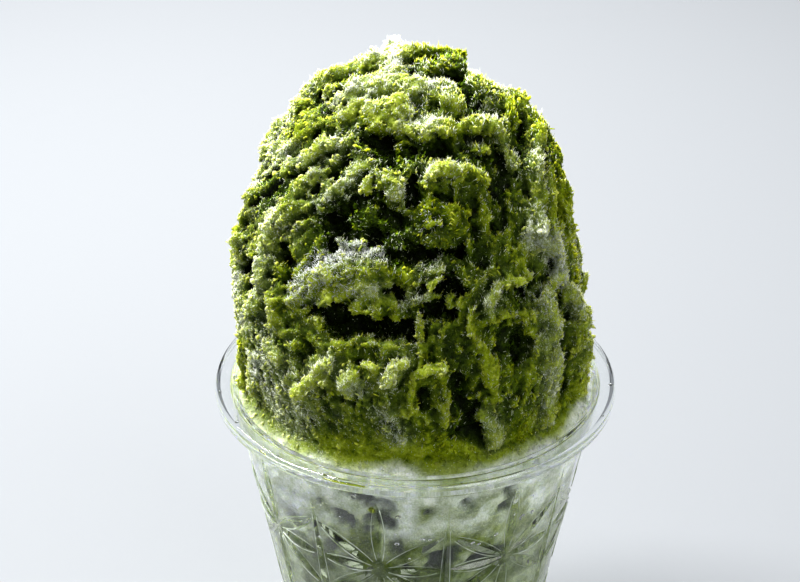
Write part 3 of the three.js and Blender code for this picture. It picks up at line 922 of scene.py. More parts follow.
def make_filling(material):
    """The ice that fills the cup. It reaches just into the wall, but for hollows where it has melted away."""
    heights = np.linspace(FLOOR_TOP - 0.1, FILL_TOP, FILL_ROWS)
    angles = np.linspace(0, 2 * math.pi, FILL_SIDES, endpoint=False)
    z, a = np.meshgrid(heights, angles, indexing="ij")
    base = inner_wall(z) + IN_WALL
    x, y = (base * np.sin(a)).astype(np.float32), (-base * np.cos(a)).astype(np.float32)
    zf = z.astype(np.float32)
    broad = looked_up(x + 60, y + 60, zf + 9, 9.0)
    middle = looked_up(y + 60, x + 60, zf * 0.8 + 30, 3.6)
    fine = looked_up(zf + 60, y + 60, x + 90, 1.6)
    ragged = 1 + 0.3 * middle + 0.15 * fine
    hollow = 0.8 * ramp(broad + 0.5 * middle, 0.9, 1.7) * ramp(z, 78, 68)
    for pixel, reach in SHOWN_MELTS:
        away = wall_distance(pixel, a, z) / reach * ragged
        hollow = np.maximum(hollow, 0.9 * np.exp(-(away**4)))
    stain = np.zeros(z.shape)
    for pixel, reach in SHOWN_STAINS:
        away = wall_distance(pixel, a, z) / reach * ragged
        stain = np.maximum(stain, np.exp(-(away**2)))
    melt = ramp(middle + 0.4 * fine, 0.2, 1.0) * ramp(z, 90, 84)
    depth = 2.4 * hollow + 0.5 * melt + 0.12 * np.abs(fine) * ramp(z, 90, 88)
    radius = base - depth - np.clip(4.0 - z, 0, None) * 0.9
    points = np.stack((radius * np.sin(a), -radius * np.cos(a), z), -1).reshape(-1, 3)
    points = np.concatenate((points, ((0, 0, heights[0]), (0, 0, heights[-1]))))
    faces = lathe_faces(FILL_ROWS, FILL_SIDES)
    piece = new_piece("ice_in_cup", points, faces, material, "green_tea_ice")
    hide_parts("shaved_ice")
    frosty = ramp(z + 3 * broad + 1.2 * middle - 3 * np.sin(a), 72, 85) * (1 - 0.6 * stain)
    # Paler at the left and right, where the wall is seen edge on: painted reflection.
    side = ramp(np.abs(np.sin(a)), 0.45, 0.85)
    pale = 0.1 + 0.9 * frosty + 0.1 * middle + 0.07 * fine + 0.4 * side - 0.85 * hollow
    # The melted hollows are painted darker and less pale, and the side that the lamps light less pale:
    # painted shade.
    values = {
        "lift": (0.62 + 0.1 * middle - 0.4 * hollow, 0.5),
        "open": (0.7 + 0.16 * ramp(z, 58, 74) - 0.55 * hollow, 0.5),
        "frost": (0.25 + 0.3 * frosty + 0.1 * fine, 0.3),
        "pale": (np.clip(pale, 0, 1) - 0.34 * lamp_side(a) * ramp(z, 70, 84), 0.5),
    }
    for key, (value, at_ends) in values.items():
        add_value(piece, key, np.append(np.clip(value, 0, 1), (at_ends, at_ends)))


# ---- Scattered crystals ----

SCATTER_SHARE = 1.0
SCATTER_LOW = 92.2  # nothing is scattered below this height
scatter_source = seeded("crystals")


def surface_places(points, faces, weight, count, source):
    """Random places on the mound with their normals. Weight is each corner's pull."""
    across = face_vectors(points, faces)
    size = np.linalg.norm(across, axis=1)
    pull = size * weight[faces].mean(1)
    pull[(points[faces][:, :, 2] < SCATTER_LOW).any(1)] = 0
    chosen = source.choice(len(faces), count, p=pull / pull.sum())
    a, b = source.random((2, count))
    flip = a + b > 1
    a[flip], b[flip] = 1 - a[flip], 1 - b[flip]
    corner = points[faces[chosen]]
    places = corner[:, 0] + a[:, None] * (corner[:, 1] - corner[:, 0])
    places += b[:, None] * (corner[:, 2] - corner[:, 0])
    return places, across[chosen] / size[chosen][:, None], chosen


def random_turns(count, source):
    """Random rotation matrices."""
    q = source.standard_normal((count, 4))
    w, x, y, z = (q / np.linalg.norm(q, axis=1, keepdims=True)).T
    rows = (
        (1 - 2 * (y * y + z * z), 2 * (x * y - w * z), 2 * (x * z + w * y)),
        (2 * (x * y + w * z), 1 - 2 * (x * x + z * z), 2 * (y * z - w * x)),
        (2 * (x * z - w * y), 2 * (y * z + w * x), 1 - 2 * (x * x + y * y)),
    )
    return np.moveaxis(np.array(rows), 2, 0)


def leaning_turns(directions, source):
    """Rotation matrices whose third axis is a direction."""
    third = directions / np.linalg.norm(directions, axis=1, keepdims=True)
    first = np.cross(third, source.standard_normal(third.shape))
    first /= np.linalg.norm(first, axis=1, keepdims=True)
    return np.stack((first, np.cross(third, first), third), 2)


# Kinds of loose ice: how many, and the least and the most of their half widths in millimetres, and of their
# depths and lengths as shares of it. A flake's depth is in millimetres.
GRAINS = (15000, (0.2, 0.42), (0.6, 1.0), (0.8, 1.7))
CRYSTALS = (17000, (0.1, 0.2), (0.4, 0.9), (1.3, 3.4))
NEEDLES = (20000, (0.07, 0.14), (0.7, 1.0), (4.0, 10.0))
HOAR = (4500, (0.06, 0.12), (0.6, 1.0), (4.0, 9.5))
TORN_STRANDS = (41000, (0.1, 0.2), (0.5, 1.0), (3.0, 7.0))
FLAKES = (6000, (0.3, 0.75), (0.08, 0.14), (0.6, 1.2))
FLAKE_SIDES = 6
SHARD = (
    np.array(((1, 0, -0.35), (-0.5, 0.87, -0.35), (-0.5, -0.87, -0.35), (0, 0, 1.06))),
    np.array(((0, 2, 1), (0, 1, 3), (1, 2, 3), (2, 0, 3))),
)


def joined(template, faces, places, rotations, sizes, jitter, source):
    """One mesh of many copies of a small form, each turned, sized and made uneven."""
    count = len(places)
    form = template[None] * (1 + jitter * source.uniform(-1, 1, (count, len(template), 1)))
    form = form * sizes[:, None, :]
    points = np.einsum("nij,nkj->nki", rotations, form) + places[:, None, :]
    all_faces = faces[None] + len(template) * np.arange(count)[:, None, None]
    return points.reshape(-1, 3), all_faces.reshape(-1, faces.shape[1])


def plate_form(sides):
    """A thin uneven plate that stands on its edge: a ring, and a point on each side."""
    angles = np.linspace(0, 2 * math.pi, sides, endpoint=False)
    ring = np.stack((np.cos(angles), np.zeros(sides), np.sin(angles) + 0.55), 1)
    form = np.concatenate((ring, ((0, 1, 0.55), (0, -1, 0.55))))
    faces = []
    for i in range(sides):
        j = (i + 1) % sides
        faces += [(i, j, sides + 1), (j, i, sides)]
    return form, np.array(faces)


def combed(places, source, spread):
    """Directions along the torn strands of each place's side, each straying a little."""
    total = np.tile((0.0, 0.0, 0.02), (len(places), 1))
    azimuth = np.degrees(np.arctan2(places[:, 0], -places[:, 1]))
    for weight, way in strand_sides(azimuth, places[:, 2]):
        total += weight[:, None] * way
    total /= np.linalg.norm(total, axis=1, keepdims=True)
    return total + spread * source.standard_normal(total.shape)


def sized(source, count, widths, depths, lengths, thin):
    """Half sizes of a kind's pieces. Thin ones have their depth in millimetres, not as a share."""
    width = source.uniform(*widths, count)
    depth = source.uniform(*depths, count) * (1 if thin else width)
    return np.stack((width, depth, width * source.uniform(*lengths, count)), 1)


def scatter(mound, name, kind, weight, turns, material, form=SHARD, proud=0.0, jitter=0.3, lit=None):
    """One piece of many copies of a small form, strewn over the mound by weight.

    Turns is a function that draws their rotations. Proud is how far they stand off the surface. With lit,
    they carry the mound's values, with raised and open higher by that much, so that they are painted lighter
    than it: painted light.
    """
    points, faces, _, values = mound
    count, *sizes = kind
    count = int(count * SCATTER_SHARE)
    places, normals, chosen = surface_places(points, faces, weight, count, scatter_source)
    size = sized(scatter_source, count, *sizes, thin=form is not SHARD)
    rotations = turns(places, normals)
    cloud = joined(*form, places + normals * proud, rotations, size, jitter, scatter_source)
    piece = new_piece(name, *cloud, material, "green_tea_ice", smooth=False)
    if lit is not None:
        for key, value in values.items():
            extra = lit if key in ("lift", "open") else 0.0
            add_value(piece, key, np.repeat(value[faces[chosen]].mean(1) + extra, len(form[0])))


def tumbled(places, normals):
    """Rotations of any kind."""
    return random_turns(len(places), scatter_source)


def along_strands(spread, lean):
    """Rotations that follow the strands, straying by a spread and leaning out of the mound by a share."""
    def turns(places, normals):
        return leaning_turns(combed(places, scatter_source, spread) + lean * normals, scatter_source)
    return turns


def standing(lean, spread, pull):
    """Rotations that stand on the mound by a share, straying by a spread and pulled one way."""
    def turns(places, normals):
        stray = spread * scatter_source.standard_normal(normals.shape)
        return leaning_turns(normals * lean + stray + pull, scatter_source)
    return turns


def make_crystals(mound, ice, frost_ice, hoar_ice):
    """Six pieces of loose ice: grains, three kinds of frost, torn strands and flakes."""
    points, _, normals, values = mound
    frost, lift, pale = values["frost"], values["lift"], values["pale"]
    hoar = shown_at(points, SHOWN_HOAR, HOAR_CELL)
    x, _, z = points.T
    patches = 0.15 + 0.85 * ramp(noise_at(points, 80, 1.5), -0.6, 0.8)
    rime = (0.02 + frost**1.5) * lift**3 * ramp(z, 92, 106) * patches * (1 - 0.6 * pale)
    # Fewer white crystals on the left, where the key lamp falls, so that side shows less white: painted
    # shade.
    rime *= 1 - 0.5 * ramp(x, -10, -30)
    rime *= 1 - 0.85 * ramp(normals[:, 1], -0.1, 0.4)
    torn = (0.15 + lift**2) * (1 - 0.7 * pale)
    flaky = (0.04 + lift**2) * (0.3 + frost)
    scatter(mound, "ice_grains", GRAINS, 0.3 + lift, tumbled, ice, proud=-0.05, jitter=0.35, lit=0.0)
    scatter(mound, "frost_crystals", CRYSTALS, rime, along_strands(0.6, 0.7), frost_ice)
    scatter(mound, "frost_needles", NEEDLES, rime, along_strands(0.5, 0.2), frost_ice, jitter=0.25)
    feathered = standing(0.7, 0.6, (-0.15, 0, 0.5))
    scatter(mound, "hoar_needles", HOAR, hoar * lift, feathered, hoar_ice, jitter=0.25)
    scatter(mound, "ice_strands", TORN_STRANDS, torn, along_strands(0.35, 0.1), ice, proud=0.05, lit=0.0)
    upright = standing(1.0, 0.5, (-0.1, 0.1, 0.5))
    # Flakes are painted lighter than the ice they lie on: painted light.
    scatter(mound, "ice_flakes", FLAKES, flaky, upright, ice, form=plate_form(FLAKE_SIDES), lit=0.12)


# ---- Cup ----

def arc(radius, height, size, start, end, steps):
    """Points of an arc in the cup's section, between two angles in degrees: 0 is outwards, 90 is up."""
    angles = np.radians(np.linspace(start, end, steps + 1))
    return [(radius + size * math.cos(a), height + size * math.sin(a)) for a in angles]


def cup_profile():
    """Half of the cup's section: underside, outer wall, flange with its lip, inner wall, floor."""
    under_flange = CUP_HEIGHT - FLANGE_THICKNESS
    lip_round = LIP_THICKNESS / 2
    floor_corner = FOOT_RADIUS - FOOT_ROUND
    ring_inside = floor_corner - FOOT_RING_WIDTH
    mouth = inner_wall(CUP_HEIGHT - MOUTH_ROUND)
    corner = inner_wall(FLOOR_TOP + FOOT_ROUND) - FOOT_ROUND
    return [
        (0, FOOT_RECESS),
        (ring_inside - 0.5, FOOT_RECESS),
        (ring_inside, FOOT_RECESS - 0.4),
        (ring_inside + 0.3, 0),
        *arc(floor_corner, FOOT_ROUND, FOOT_ROUND, 270, 350, 5),
        (outer_wall(CUP_HEIGHT - LIP_DEPTH), CUP_HEIGHT - LIP_DEPTH),
        *arc(outer_wall(under_flange) + UNDER_ROUND, under_flange - UNDER_ROUND, UNDER_ROUND, 180, 90, 4),
        (RIM_RADIUS - LIP_THICKNESS - LIP_BEVEL, under_flange),
        (RIM_RADIUS - LIP_THICKNESS, under_flange - LIP_BEVEL),
        *arc(RIM_RADIUS - lip_round, CUP_HEIGHT - LIP_DEPTH + lip_round, lip_round, 180, 360, 6),
        *arc(RIM_RADIUS - FLANGE_THICKNESS, under_flange, FLANGE_THICKNESS, 0, 90, 6),
        *arc(mouth + MOUTH_ROUND, CUP_HEIGHT - MOUTH_ROUND, MOUTH_ROUND, 90, 180, 6),
        *arc(corner, FLOOR_TOP + FOOT_ROUND, FOOT_ROUND, 0, -90, 4),
        (0, FLOOR_TOP),
    ]


def plain_mesh(name, points, faces):
    """An object without material or slot, from points in millimetres and faces of any size."""
    mesh = bpy.data.meshes.new(name)
    mesh.from_pydata([tuple(np.array(p) * MM) for p in points], [], [tuple(int(i) for i in f) for f in faces])
    made = bpy.data.objects.new(name, mesh)
    bpy.context.scene.collection.objects.link(made)
    return made


def turned(name, profile, sides):
    """A profile that starts and ends on the axis, turned about it."""
    rings = profile[1:-1]
    angles = np.linspace(0, 2 * math.pi, sides, endpoint=False)
    points = [(r * math.sin(a), -r * math.cos(a), z) for r, z in rings for a in angles]
    faces = []
    for row in range(len(rings) - 1):
        for i in range(sides):
            j = (i + 1) % sides
            a, b = row * sides, (row + 1) * sides
            faces.append((a + i, a + j, b + j, b + i))
    low, high = len(points), len(points) + 1
    points += [(0, 0, profile[0][1]), (0, 0, profile[-1][1])]
    last = (len(rings) - 1) * sides
    for i in range(sides):
        j = (i + 1) % sides
        faces.append((j, i, low))
        faces.append((last + i, last + j, high))
    return plain_mesh(name, points, faces)


LEAF_STEPS = 14
OVER_WALL = 0.08  # how far a cutter's edges stand off the wall, so that no faces coincide
CUTTER_HEIGHT = 1.2


def on_wall(azimuth, height, proud=0.0):
    return at_azimuth(azimuth, outer_wall(height) + proud, height)


def leaf_sections(start, end, peak, shares):
    """Sections of a leaf between two places of the wall: middle, half width, way out and swell of each."""
    for share in shares:
        azimuth, height = (a + (b - a) * share for a, b in zip(start, end))
        after, before = ([a + (b - a) * (share + step) for a, b in zip(start, end)] for step in (0.01, -0.01))
        t = 0.5 * share / peak if share < peak else 1 - 0.5 * (1 - share) / (1 - peak)
        swell = math.sin(math.pi * t) ** 0.85
        out = on_wall(azimuth, height, 1) - on_wall(azimuth, height)
        side = np.cross(out, on_wall(*after) - on_wall(*before))
        side *= CUT_WIDTH / 2 * swell / np.linalg.norm(side)
        yield on_wall(azimuth, height, OVER_WALL), side, out, swell


def leaf_cutter(start, end, peak, points, faces):
    """Adds one leaf-shaped V groove to a cutter. Peak says where along it the leaf is widest."""
    first = len(points)
    shares = np.linspace(0.012, 0.988, LEAF_STEPS)
    sections = list(leaf_sections(start, end, peak, shares))
    points.append(sections[0][0])
    for middle, side, out, swell in sections[1:-1]:
        bottom = middle - out * (OVER_WALL + CUT_DEPTH * swell)
        points += [middle + side, bottom, middle - side, middle + out * CUTTER_HEIGHT]
    points.append(sections[-1][0])
    last = len(points) - 1
    for k in range(4):
        n = (k + 1) % 4
        faces.append((first, first + 1 + k, first + 1 + n))
        faces.append((last, last - 4 + n, last - 4 + k))
        for row in range(LEAF_STEPS - 3):
            a, b = first + 1 + 4 * row, first + 5 + 4 * row
            faces.append((a + k, b + k, b + n))
            faces.append((a + k, b + n, a + n))


def leaves():
    """The cuts: the ends, the peak, and the number of a group in which no two cuts overlap."""
    halfway = 180 / STARS_AROUND
    for star in range(STARS_AROUND):
        azimuth = FIRST_STAR + 2 * halfway * star
        for height, reach, slant in STAR_ROWS:
            yield (azimuth, height), (azimuth, height + reach), 0.5, 0
            yield (azimuth, height - reach), (azimuth, height), 0.5, 0
            for side in (-halfway, halfway):
                for rise in (-slant, 0, slant):
                    group = 1 if rise == 0 else 2 if rise * side > 0 else 3
                    yield (azimuth, height), (azimuth + side, height + rise), 0.5, group
        flute = azimuth + halfway
        yield (flute, FLUTE_BOTTOM), (flute, FLUTE_TOP), 0.3, 0


CUT_GROUPS = 4


def cutter_groups():
    """Points and faces of each group's cutter."""
    groups = [([], []) for _ in range(CUT_GROUPS)]
    for start, end, peak, group in leaves():
        leaf_cutter(start, end, peak, *groups[group])
    return groups


def tube(points, outs, radii, sides):
    """A closed tube along a run of points. Outs say which way its top faces."""
    along = np.gradient(points, axis=0)
    across = np.cross(outs, along)
    across /= np.linalg.norm(across, axis=1, keepdims=True)
    angles = 2 * math.pi * np.arange(sides) / sides + math.pi / 2
    ring = np.cos(angles)[None, :, None] * across[:, None] + np.sin(angles)[None, :, None] * outs[:, None]
    made = (points[:, None] + ring * radii[:, None, None]).reshape(-1, 3)
    rows, k = np.meshgrid(np.arange(len(points) - 1) * sides, np.arange(sides), indexing="ij")
    a, b = (rows + k).ravel(), (rows + (k + 1) % sides).ravel()
    faces = [np.stack((a, a + sides, b + sides), 1), np.stack((a, b + sides, b), 1)]
    first, last = np.arange(1, sides - 1), len(made) - sides + np.arange(1, sides - 1)
    faces.append(np.stack((np.zeros_like(first), first, first + 1), 1))
    faces.append(np.stack((np.full_like(last, len(made) - sides), last + 1, last), 1))
    return made, np.concatenate(faces)


def merged(parts):
    """One mesh from several."""
    starts = np.cumsum([0] + [len(points) for points, _ in parts[:-1]])
    faces = [faces + start for (_, faces), start in zip(parts, starts)]
    return np.concatenate([points for points, _ in parts]), np.concatenate(faces)


EDGE_RADIUS, EDGE_SIDES = 0.1, 3


def make_cut_highlights(material):
    """The rounded edges of the cuts, as fine opaque beads coloured as the edges' glints and the dark green
    seen through them: painted highlight and painted refraction.
    """
    parts = []
    source = seeded("edges")
    shares = np.linspace(0.13, 0.87, LEAF_STEPS - 2)
    for start, end, peak, _ in leaves():
        middles, sides, outs, _ = zip(*leaf_sections(start, end, peak, shares))
        for way in (-1, 1):
            line = np.array(middles) + way * np.array(sides) - OVER_WALL * np.array(outs)
            radii = EDGE_RADIUS * source.uniform(0.6, 1.9) * source.uniform(0.7, 1.1, len(line))
            parts.append(tube(line, np.array(outs), radii, EDGE_SIDES))
    new_piece("cut_edge_highlights", *merged(parts), material, "clear_plastic")


def cut_by(cup, cutter):
    """Takes a cutter's shape from the cup, and removes the cutter."""
    cut = cup.modifiers.new("cut", "BOOLEAN")
    cut.object = cutter
    cut.operation = "DIFFERENCE"
    cut.solver = "MANIFOLD"
    bpy.context.view_layer.update()
    evaluated = cup.evaluated_get(bpy.context.evaluated_depsgraph_get())
    made = bpy.data.meshes.new_from_object(evaluated)
    cup.modifiers.clear()
    cup.data = made
    bpy.data.objects.remove(cutter)


def mark_cuts(cup):
    """Marks the facets that lie deeper than the wall's outside, for the material."""
    centres = np.empty(3 * len(cup.data.polygons), np.float32)
    cup.data.polygons.foreach_get("center", centres)
    x, y, z = centres.reshape(-1, 3).T / MM
    deep = outer_wall(z) - np.hypot(x, y)
    cut = (deep > 0.05) & (deep < CUT_DEPTH + 0.2) & (z > FLUTE_BOTTOM - 1) & (z < FLUTE_TOP + 1)
    cup.data.attributes.new("cut", "FLOAT", "FACE").data.foreach_set("value", cut.astype(np.float32))


def make_cup(material):
    cup = turned("clear_cup", cup_profile(), CUP_SIDES)
    for number, (points, faces) in enumerate(cutter_groups()):
        cut_by(cup, plain_mesh(f"cutter_{number}", points, faces))
    cup.data.shade_smooth()
    cup.data.set_sharp_from_angle(angle=SHARP_ANGLE)
    cup.data.materials.clear()
    cup.data.materials.append(material)
    mark_cuts(cup)
    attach(cup, BODY)
    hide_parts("cup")


# ---- Drops on the cup ----

DROP_SIDES, DROP_RINGS = 12, 4
DROP_SUNK = 0.15  # how far a drop's base lies in what carries it, as a share of its height


def drop_form():
    """A flattened bead on a plane through the origin, its base sunk a little, as a closed mesh."""
    rises = math.pi / 2 * np.arange(DROP_RINGS) / DROP_RINGS
    turns = 2 * math.pi * np.arange(DROP_SIDES) / DROP_SIDES
    rise, turn = np.meshgrid(rises, turns, indexing="ij")
    rings = np.stack((np.cos(rise) * np.cos(turn), np.cos(rise) * np.sin(turn), np.sin(rise)), -1)
    points = np.concatenate((rings.reshape(-1, 3), ((0, 0, -DROP_SUNK), (0, 0, 1))))
    return points, lathe_faces(DROP_RINGS, DROP_SIDES)


def wall_seen_at(x, y):
    """Azimuth and height where the line of sight through a photograph pixel meets the cup's outer wall."""
    line = sight_line(x, y)
    place = line[np.argmax(np.hypot(line[:, 0], line[:, 1]) < outer_wall(line[:, 2]))]
    return math.degrees(math.atan2(place[0], -place[1])), place[2]


# Water drops seen on the wall and one of syrup: pixel of the photograph, radius in millimetres.
SHOWN_DROPS = (
    ((354, 496), 0.95), ((326, 485), 0.6), ((320, 537), 0.55), ((397, 544), 0.6), ((522, 517), 0.75),
    ((532, 512), 0.6), ((473, 543), 0.5), ((479, 544), 0.5), ((430, 540), 0.4), ((398, 517), 0.6),
)
SYRUP_DROP = ((372, 510), 0.9)
LOOSE_DROPS = 90  # more drops, anywhere on the wall
LOOSE_HEIGHTS, LOOSE_SIZES = (8, 88), (0.15, 0.6)
# Water drops on the flange: azimuth, distance from the axis, and radius.
RIM_DROPS = (
    (-25, 49.8, 0.5), (83, 49.3, 0.55), (66, 49.7, 0.4), (-79, 49.4, 0.4), (-62, 49.0, 0.45),
    (-41, 49.6, 0.35), (12, 49.5, 0.3), (34, 48.9, 0.35), (110, 49.4, 0.4), (142, 49.0, 0.3),
    (171, 49.6, 0.5), (-150, 49.2, 0.4), (-118, 49.5, 0.35),
)
# Syrup that hangs on the flange's edge: its first and last azimuth, and its radius.
RIM_SYRUP = ((-25.5, -13.5, 0.42), (-47.5, -44.5, 0.4), (151.0, 157.0, 0.38))
RIM_SYRUP_SUNK, RIM_SYRUP_DOWN = 0.1, 0.75  # how far its middle lies inside the rim, and below the top
SYRUP_STEPS, SYRUP_SIDES = 26, 8


def make_rim_syrup(material, source):
    """Short beads of syrup along the flange's edge."""
    parts = []
    for start, end, size in RIM_SYRUP:
        angles = np.radians(np.linspace(start, end, SYRUP_STEPS))
        outs = np.stack((np.sin(angles), -np.cos(angles), np.zeros(SYRUP_STEPS)), 1)
        line = outs * (RIM_RADIUS - RIM_SYRUP_SUNK) + np.array((0, 0, CUP_HEIGHT - RIM_SYRUP_DOWN))
        swell = np.sin(np.linspace(0.06, 0.94, SYRUP_STEPS) * math.pi) ** 0.4
        swell = swell * source.uniform(0.75, 1.15, SYRUP_STEPS)
        parts.append(tube(line, outs, size * swell, SYRUP_SIDES))
    new_piece("syrup_on_rim", *merged(parts), material, "clear_plastic")


def wall_drop(azimuth, height, size):
    """Place, way out and radius of a drop on the wall."""
    way = at_azimuth(azimuth, 1, -(MOUTH_RADIUS - FOOT_RADIUS) / CUP_HEIGHT)
    return on_wall(azimuth, height), way, size


def make_drops(water, syrup):
    source = seeded("drops")
    drops = [wall_drop(*wall_seen_at(*pixel), size) for pixel, size in SHOWN_DROPS]
    for _ in range(LOOSE_DROPS):
        azimuth, height = source.uniform(0, 360), source.uniform(*LOOSE_HEIGHTS)
        drops.append(wall_drop(azimuth, height, source.uniform(*LOOSE_SIZES) ** 1.2))
    for azimuth, radius, size in RIM_DROPS:
        drops.append((at_azimuth(azimuth, radius, CUP_HEIGHT), np.array((0.0, 0.0, 1.0)), size))
    make_rim_syrup(syrup, source)
    pixel, size = SYRUP_DROP
    syrup_drops = [wall_drop(*wall_seen_at(*pixel), size)]
    for name, group, material in (("water_drops", drops, water), ("syrup_drop", syrup_drops, syrup)):
        places, outs, radii = (np.array(values) for values in zip(*group))
        sizes = np.stack((radii, radii * source.uniform(0.9, 1.3, len(radii)), radii * 0.6), 1)
        cloud = joined(*drop_form(), places, leaning_turns(outs, source), sizes, 0.0, source)
        new_piece(name, *cloud, material, "clear_plastic")


# ---- Materials ----

def new_material(name):
    material = bpy.data.materials.new(name)
    material.use_nodes = True
    return material, material.node_tree, material.node_tree.nodes["Principled BSDF"]


def maths(tree, operation, *values):
    """A Math node's result. Its inputs are sockets or plain numbers."""
    made = tree.nodes.new("ShaderNodeMath")
    made.operation = operation
    for socket, value in zip(made.inputs, values):
        if isinstance(value, (int, float)):
            socket.default_value = value
        else:
            tree.links.new(value, socket)
    return made.outputs[0]


def scaled(tree, value, factor, base):
    """A value times a factor, plus a base."""
    return maths(tree, "MULTIPLY_ADD", value, factor, base)


def centred(tree, value):
    """A value of 0 to 1, moved to lie about 0."""
    return maths(tree, "SUBTRACT", value, 0.5)


def held(tree, value, most):
    """A value held from 0 to a most."""
    return maths(tree, "MINIMUM", maths(tree, "MAXIMUM", value, 0.0), most)


def value_of(tree, name):
    made = tree.nodes.new("ShaderNodeAttribute")
    made.attribute_name = name
    return made.outputs["Fac"]


def texture(tree, kind, lump):
    """A texture node in object space, with lumps of one size, in millimetres."""
    made = tree.nodes.new(kind)
    made.inputs["Scale"].default_value = 1 / (lump * MM)
    where = tree.nodes.new("ShaderNodeTexCoord")
    tree.links.new(where.outputs["Object"], made.inputs["Vector"])
    return made


def noise(tree, lump, detail=3.0, rough=0.6):
    """Noise about 0.5."""
    made = texture(tree, "ShaderNodeTexNoise", lump)
    set_inputs(made, Detail=detail, Roughness=rough)
    return made.outputs["Fac"]


def grains(tree, lump):
    """Cells: a random value for each, and the distance from their middles."""
    made = texture(tree, "ShaderNodeTexVoronoi", lump)
    split = tree.nodes.new("ShaderNodeSeparateColor")
    tree.links.new(made.outputs["Color"], split.inputs[0])
    return split.outputs[0], made.outputs["Distance"]


def colour_ramp(tree, source, stops):
    made = tree.nodes.new("ShaderNodeValToRGB")
    tree.links.new(source, made.inputs["Fac"])
    elements = made.color_ramp.elements
    while len(elements) < len(stops):
        elements.new(0.5)
    for element, (place, colour) in zip(elements, stops):
        element.position = place
        element.color = (*colour, 1)
    return made.outputs["Color"]


def mixed(tree, share, first, second):
    made = tree.nodes.new("ShaderNodeMix")
    made.data_type = "RGBA"
    tree.links.new(share, made.inputs["Factor"])
    for name, value in (("A", first), ("B", second)):
        socket = [i for i in made.inputs if i.name == name and i.type == "RGBA"][0]
        if isinstance(value, tuple):
            socket.default_value = (*value, 1)
        else:
            tree.links.new(value, socket)
    return [o for o in made.outputs if o.type == "RGBA"][0]


def add_bump(tree, shader, height, strength, distance):
    bump = tree.nodes.new("ShaderNodeBump")
    set_inputs(bump, Strength=strength, Distance=distance * MM)
    tree.links.new(height, bump.inputs["Height"])
    tree.links.new(bump.outputs["Normal"], shader.inputs["Normal"])


def set_inputs(node, **values):
    """Sets a node's inputs by name, with _ for each space."""
    for key, value in values.items():
        node.inputs[key.replace("_", " ")].default_value = value


ICE_IOR, WATER_IOR, SYRUP_IOR, PLASTIC_IOR = 1.33, 1.33, 1.38, 1.49
# The ice from its deepest hollows to its brightest lumps: near black in the hollows is painted shade, and the
# pale end on raised lumps is painted highlight.
ICE_GREENS = (
    (0.12, (0.002, 0.004, 0.0001)),
    (0.32, (0.012, 0.024, 0.0003)),
    (0.50, (0.050, 0.082, 0.0006)),
    (0.66, (0.175, 0.235, 0.002)),
    (0.84, (0.35, 0.42, 0.025)),
    (1.00, (0.47, 0.54, 0.20)),
)
# Wet, pale slush, from its dark specks to its white.
SLUSH_GREYS = ((0.05, (0.40, 0.46, 0.28)), (0.26, (0.66, 0.71, 0.59)), (0.42, (0.89, 0.91, 0.89)))
MIST_COLOUR = (0.48, 0.56, 0.27)
RIME_COLOUR = (0.74, 0.83, 0.60)
# Dark and bright colours that small pieces drift between.
FROST_COLOURS = ((0.26, 0.34, 0.08), (0.66, 0.75, 0.48))
HOAR_COLOURS = ((0.36, 0.42, 0.28), (0.80, 0.83, 0.86))
# Colours of the cuts' edges: painted refraction of the dark green ice, and painted highlight.
CUT_HIGHLIGHT_COLOURS = ((0.16, 0.22, 0.08), (0.66, 0.72, 0.62))


def ice_material():
    """Wet green ice: near black where it is sunk, yellow-green on lumps, and white with frost on crests. The
    dark in the hollows is painted shade, and the pale on raised lumps is painted highlight.
    """
    material, tree, shader = new_material("wet_green_ice")
    lift, opened, frost, pale = (value_of(tree, name) for name in ("lift", "open", "frost", "pale"))
    clouds = centred(tree, noise(tree, 3.2))
    grain, middle = grains(tree, 0.55)
    specks = noise(tree, 0.5, 2.0, 0.7)
    # How dark or pale the green is: painted shade and light from the open and lift values, over a tone that
    # varies at random.
    depth = scaled(tree, opened, 0.42, 0.03)
    for value, share in (
        (lift, 0.32), (clouds, 0.42), (centred(tree, grain), 0.08), (centred(tree, specks), 0.22),
    ):
        depth = scaled(tree, value, share, depth)
    green = colour_ramp(tree, depth, ICE_GREENS)
    slush = colour_ramp(tree, scaled(tree, specks, 0.6, clouds), SLUSH_GREYS)
    # Where that painted tone is pale, mist and rime can show.
    raised = held(tree, scaled(tree, depth, 3.0, -0.8), 1.0)
    misted = maths(tree, "MULTIPLY", maths(tree, "MULTIPLY", frost, 0.32), raised)
    body = mixed(tree, pale, mixed(tree, misted, green, MIST_COLOUR), slush)
    rime = scaled(tree, frost, 0.14, noise(tree, 0.42, 2.0, 0.8))
    cover = maths(tree, "MULTIPLY", maths(tree, "SUBTRACT", rime, 0.66), 7.0)
    cover = maths(tree, "MULTIPLY", held(tree, cover, 0.9), raised)
    tree.links.new(mixed(tree, cover, body, RIME_COLOUR), shader.inputs["Base Color"])
    set_inputs(shader, Subsurface_Weight=0.8, Subsurface_Radius=(1.0, 1.1, 0.3), Subsurface_Scale=2.2 * MM)
    set_inputs(shader, IOR=ICE_IOR, Specular_IOR_Level=0.06)
    tree.links.new(scaled(tree, grain, 0.5, 0.05), shader.inputs["Roughness"])
    grit = maths(tree, "SUBTRACT", maths(tree, "ADD", specks, rime), middle)
    add_bump(tree, shader, grit, 0.45, 0.35)
    return material


def crystal_material(name, colours, subsurface, drift=0.9):
    """Small clear pieces, whose colour drifts from one place to the next, over this many millimetres."""
    material, tree, shader = new_material(name)
    dark, bright = colours
    colour = colour_ramp(tree, noise(tree, drift, 2.0, 0.7), ((0.38, dark), (0.62, bright)))
    tree.links.new(colour, shader.inputs["Base Color"])
    set_inputs(shader, Roughness=0.12, IOR=ICE_IOR, Subsurface_Weight=subsurface)
    set_inputs(shader, Subsurface_Radius=(1.0, 1.0, 0.8), Subsurface_Scale=1.0 * MM)
    return material


LAMP_SHARE = 0.9  # of the lamps' light that goes through
WATER_COLOUR, SYRUP_COLOUR = (1.0, 1.0, 1.0), (0.55, 0.65, 0.02)


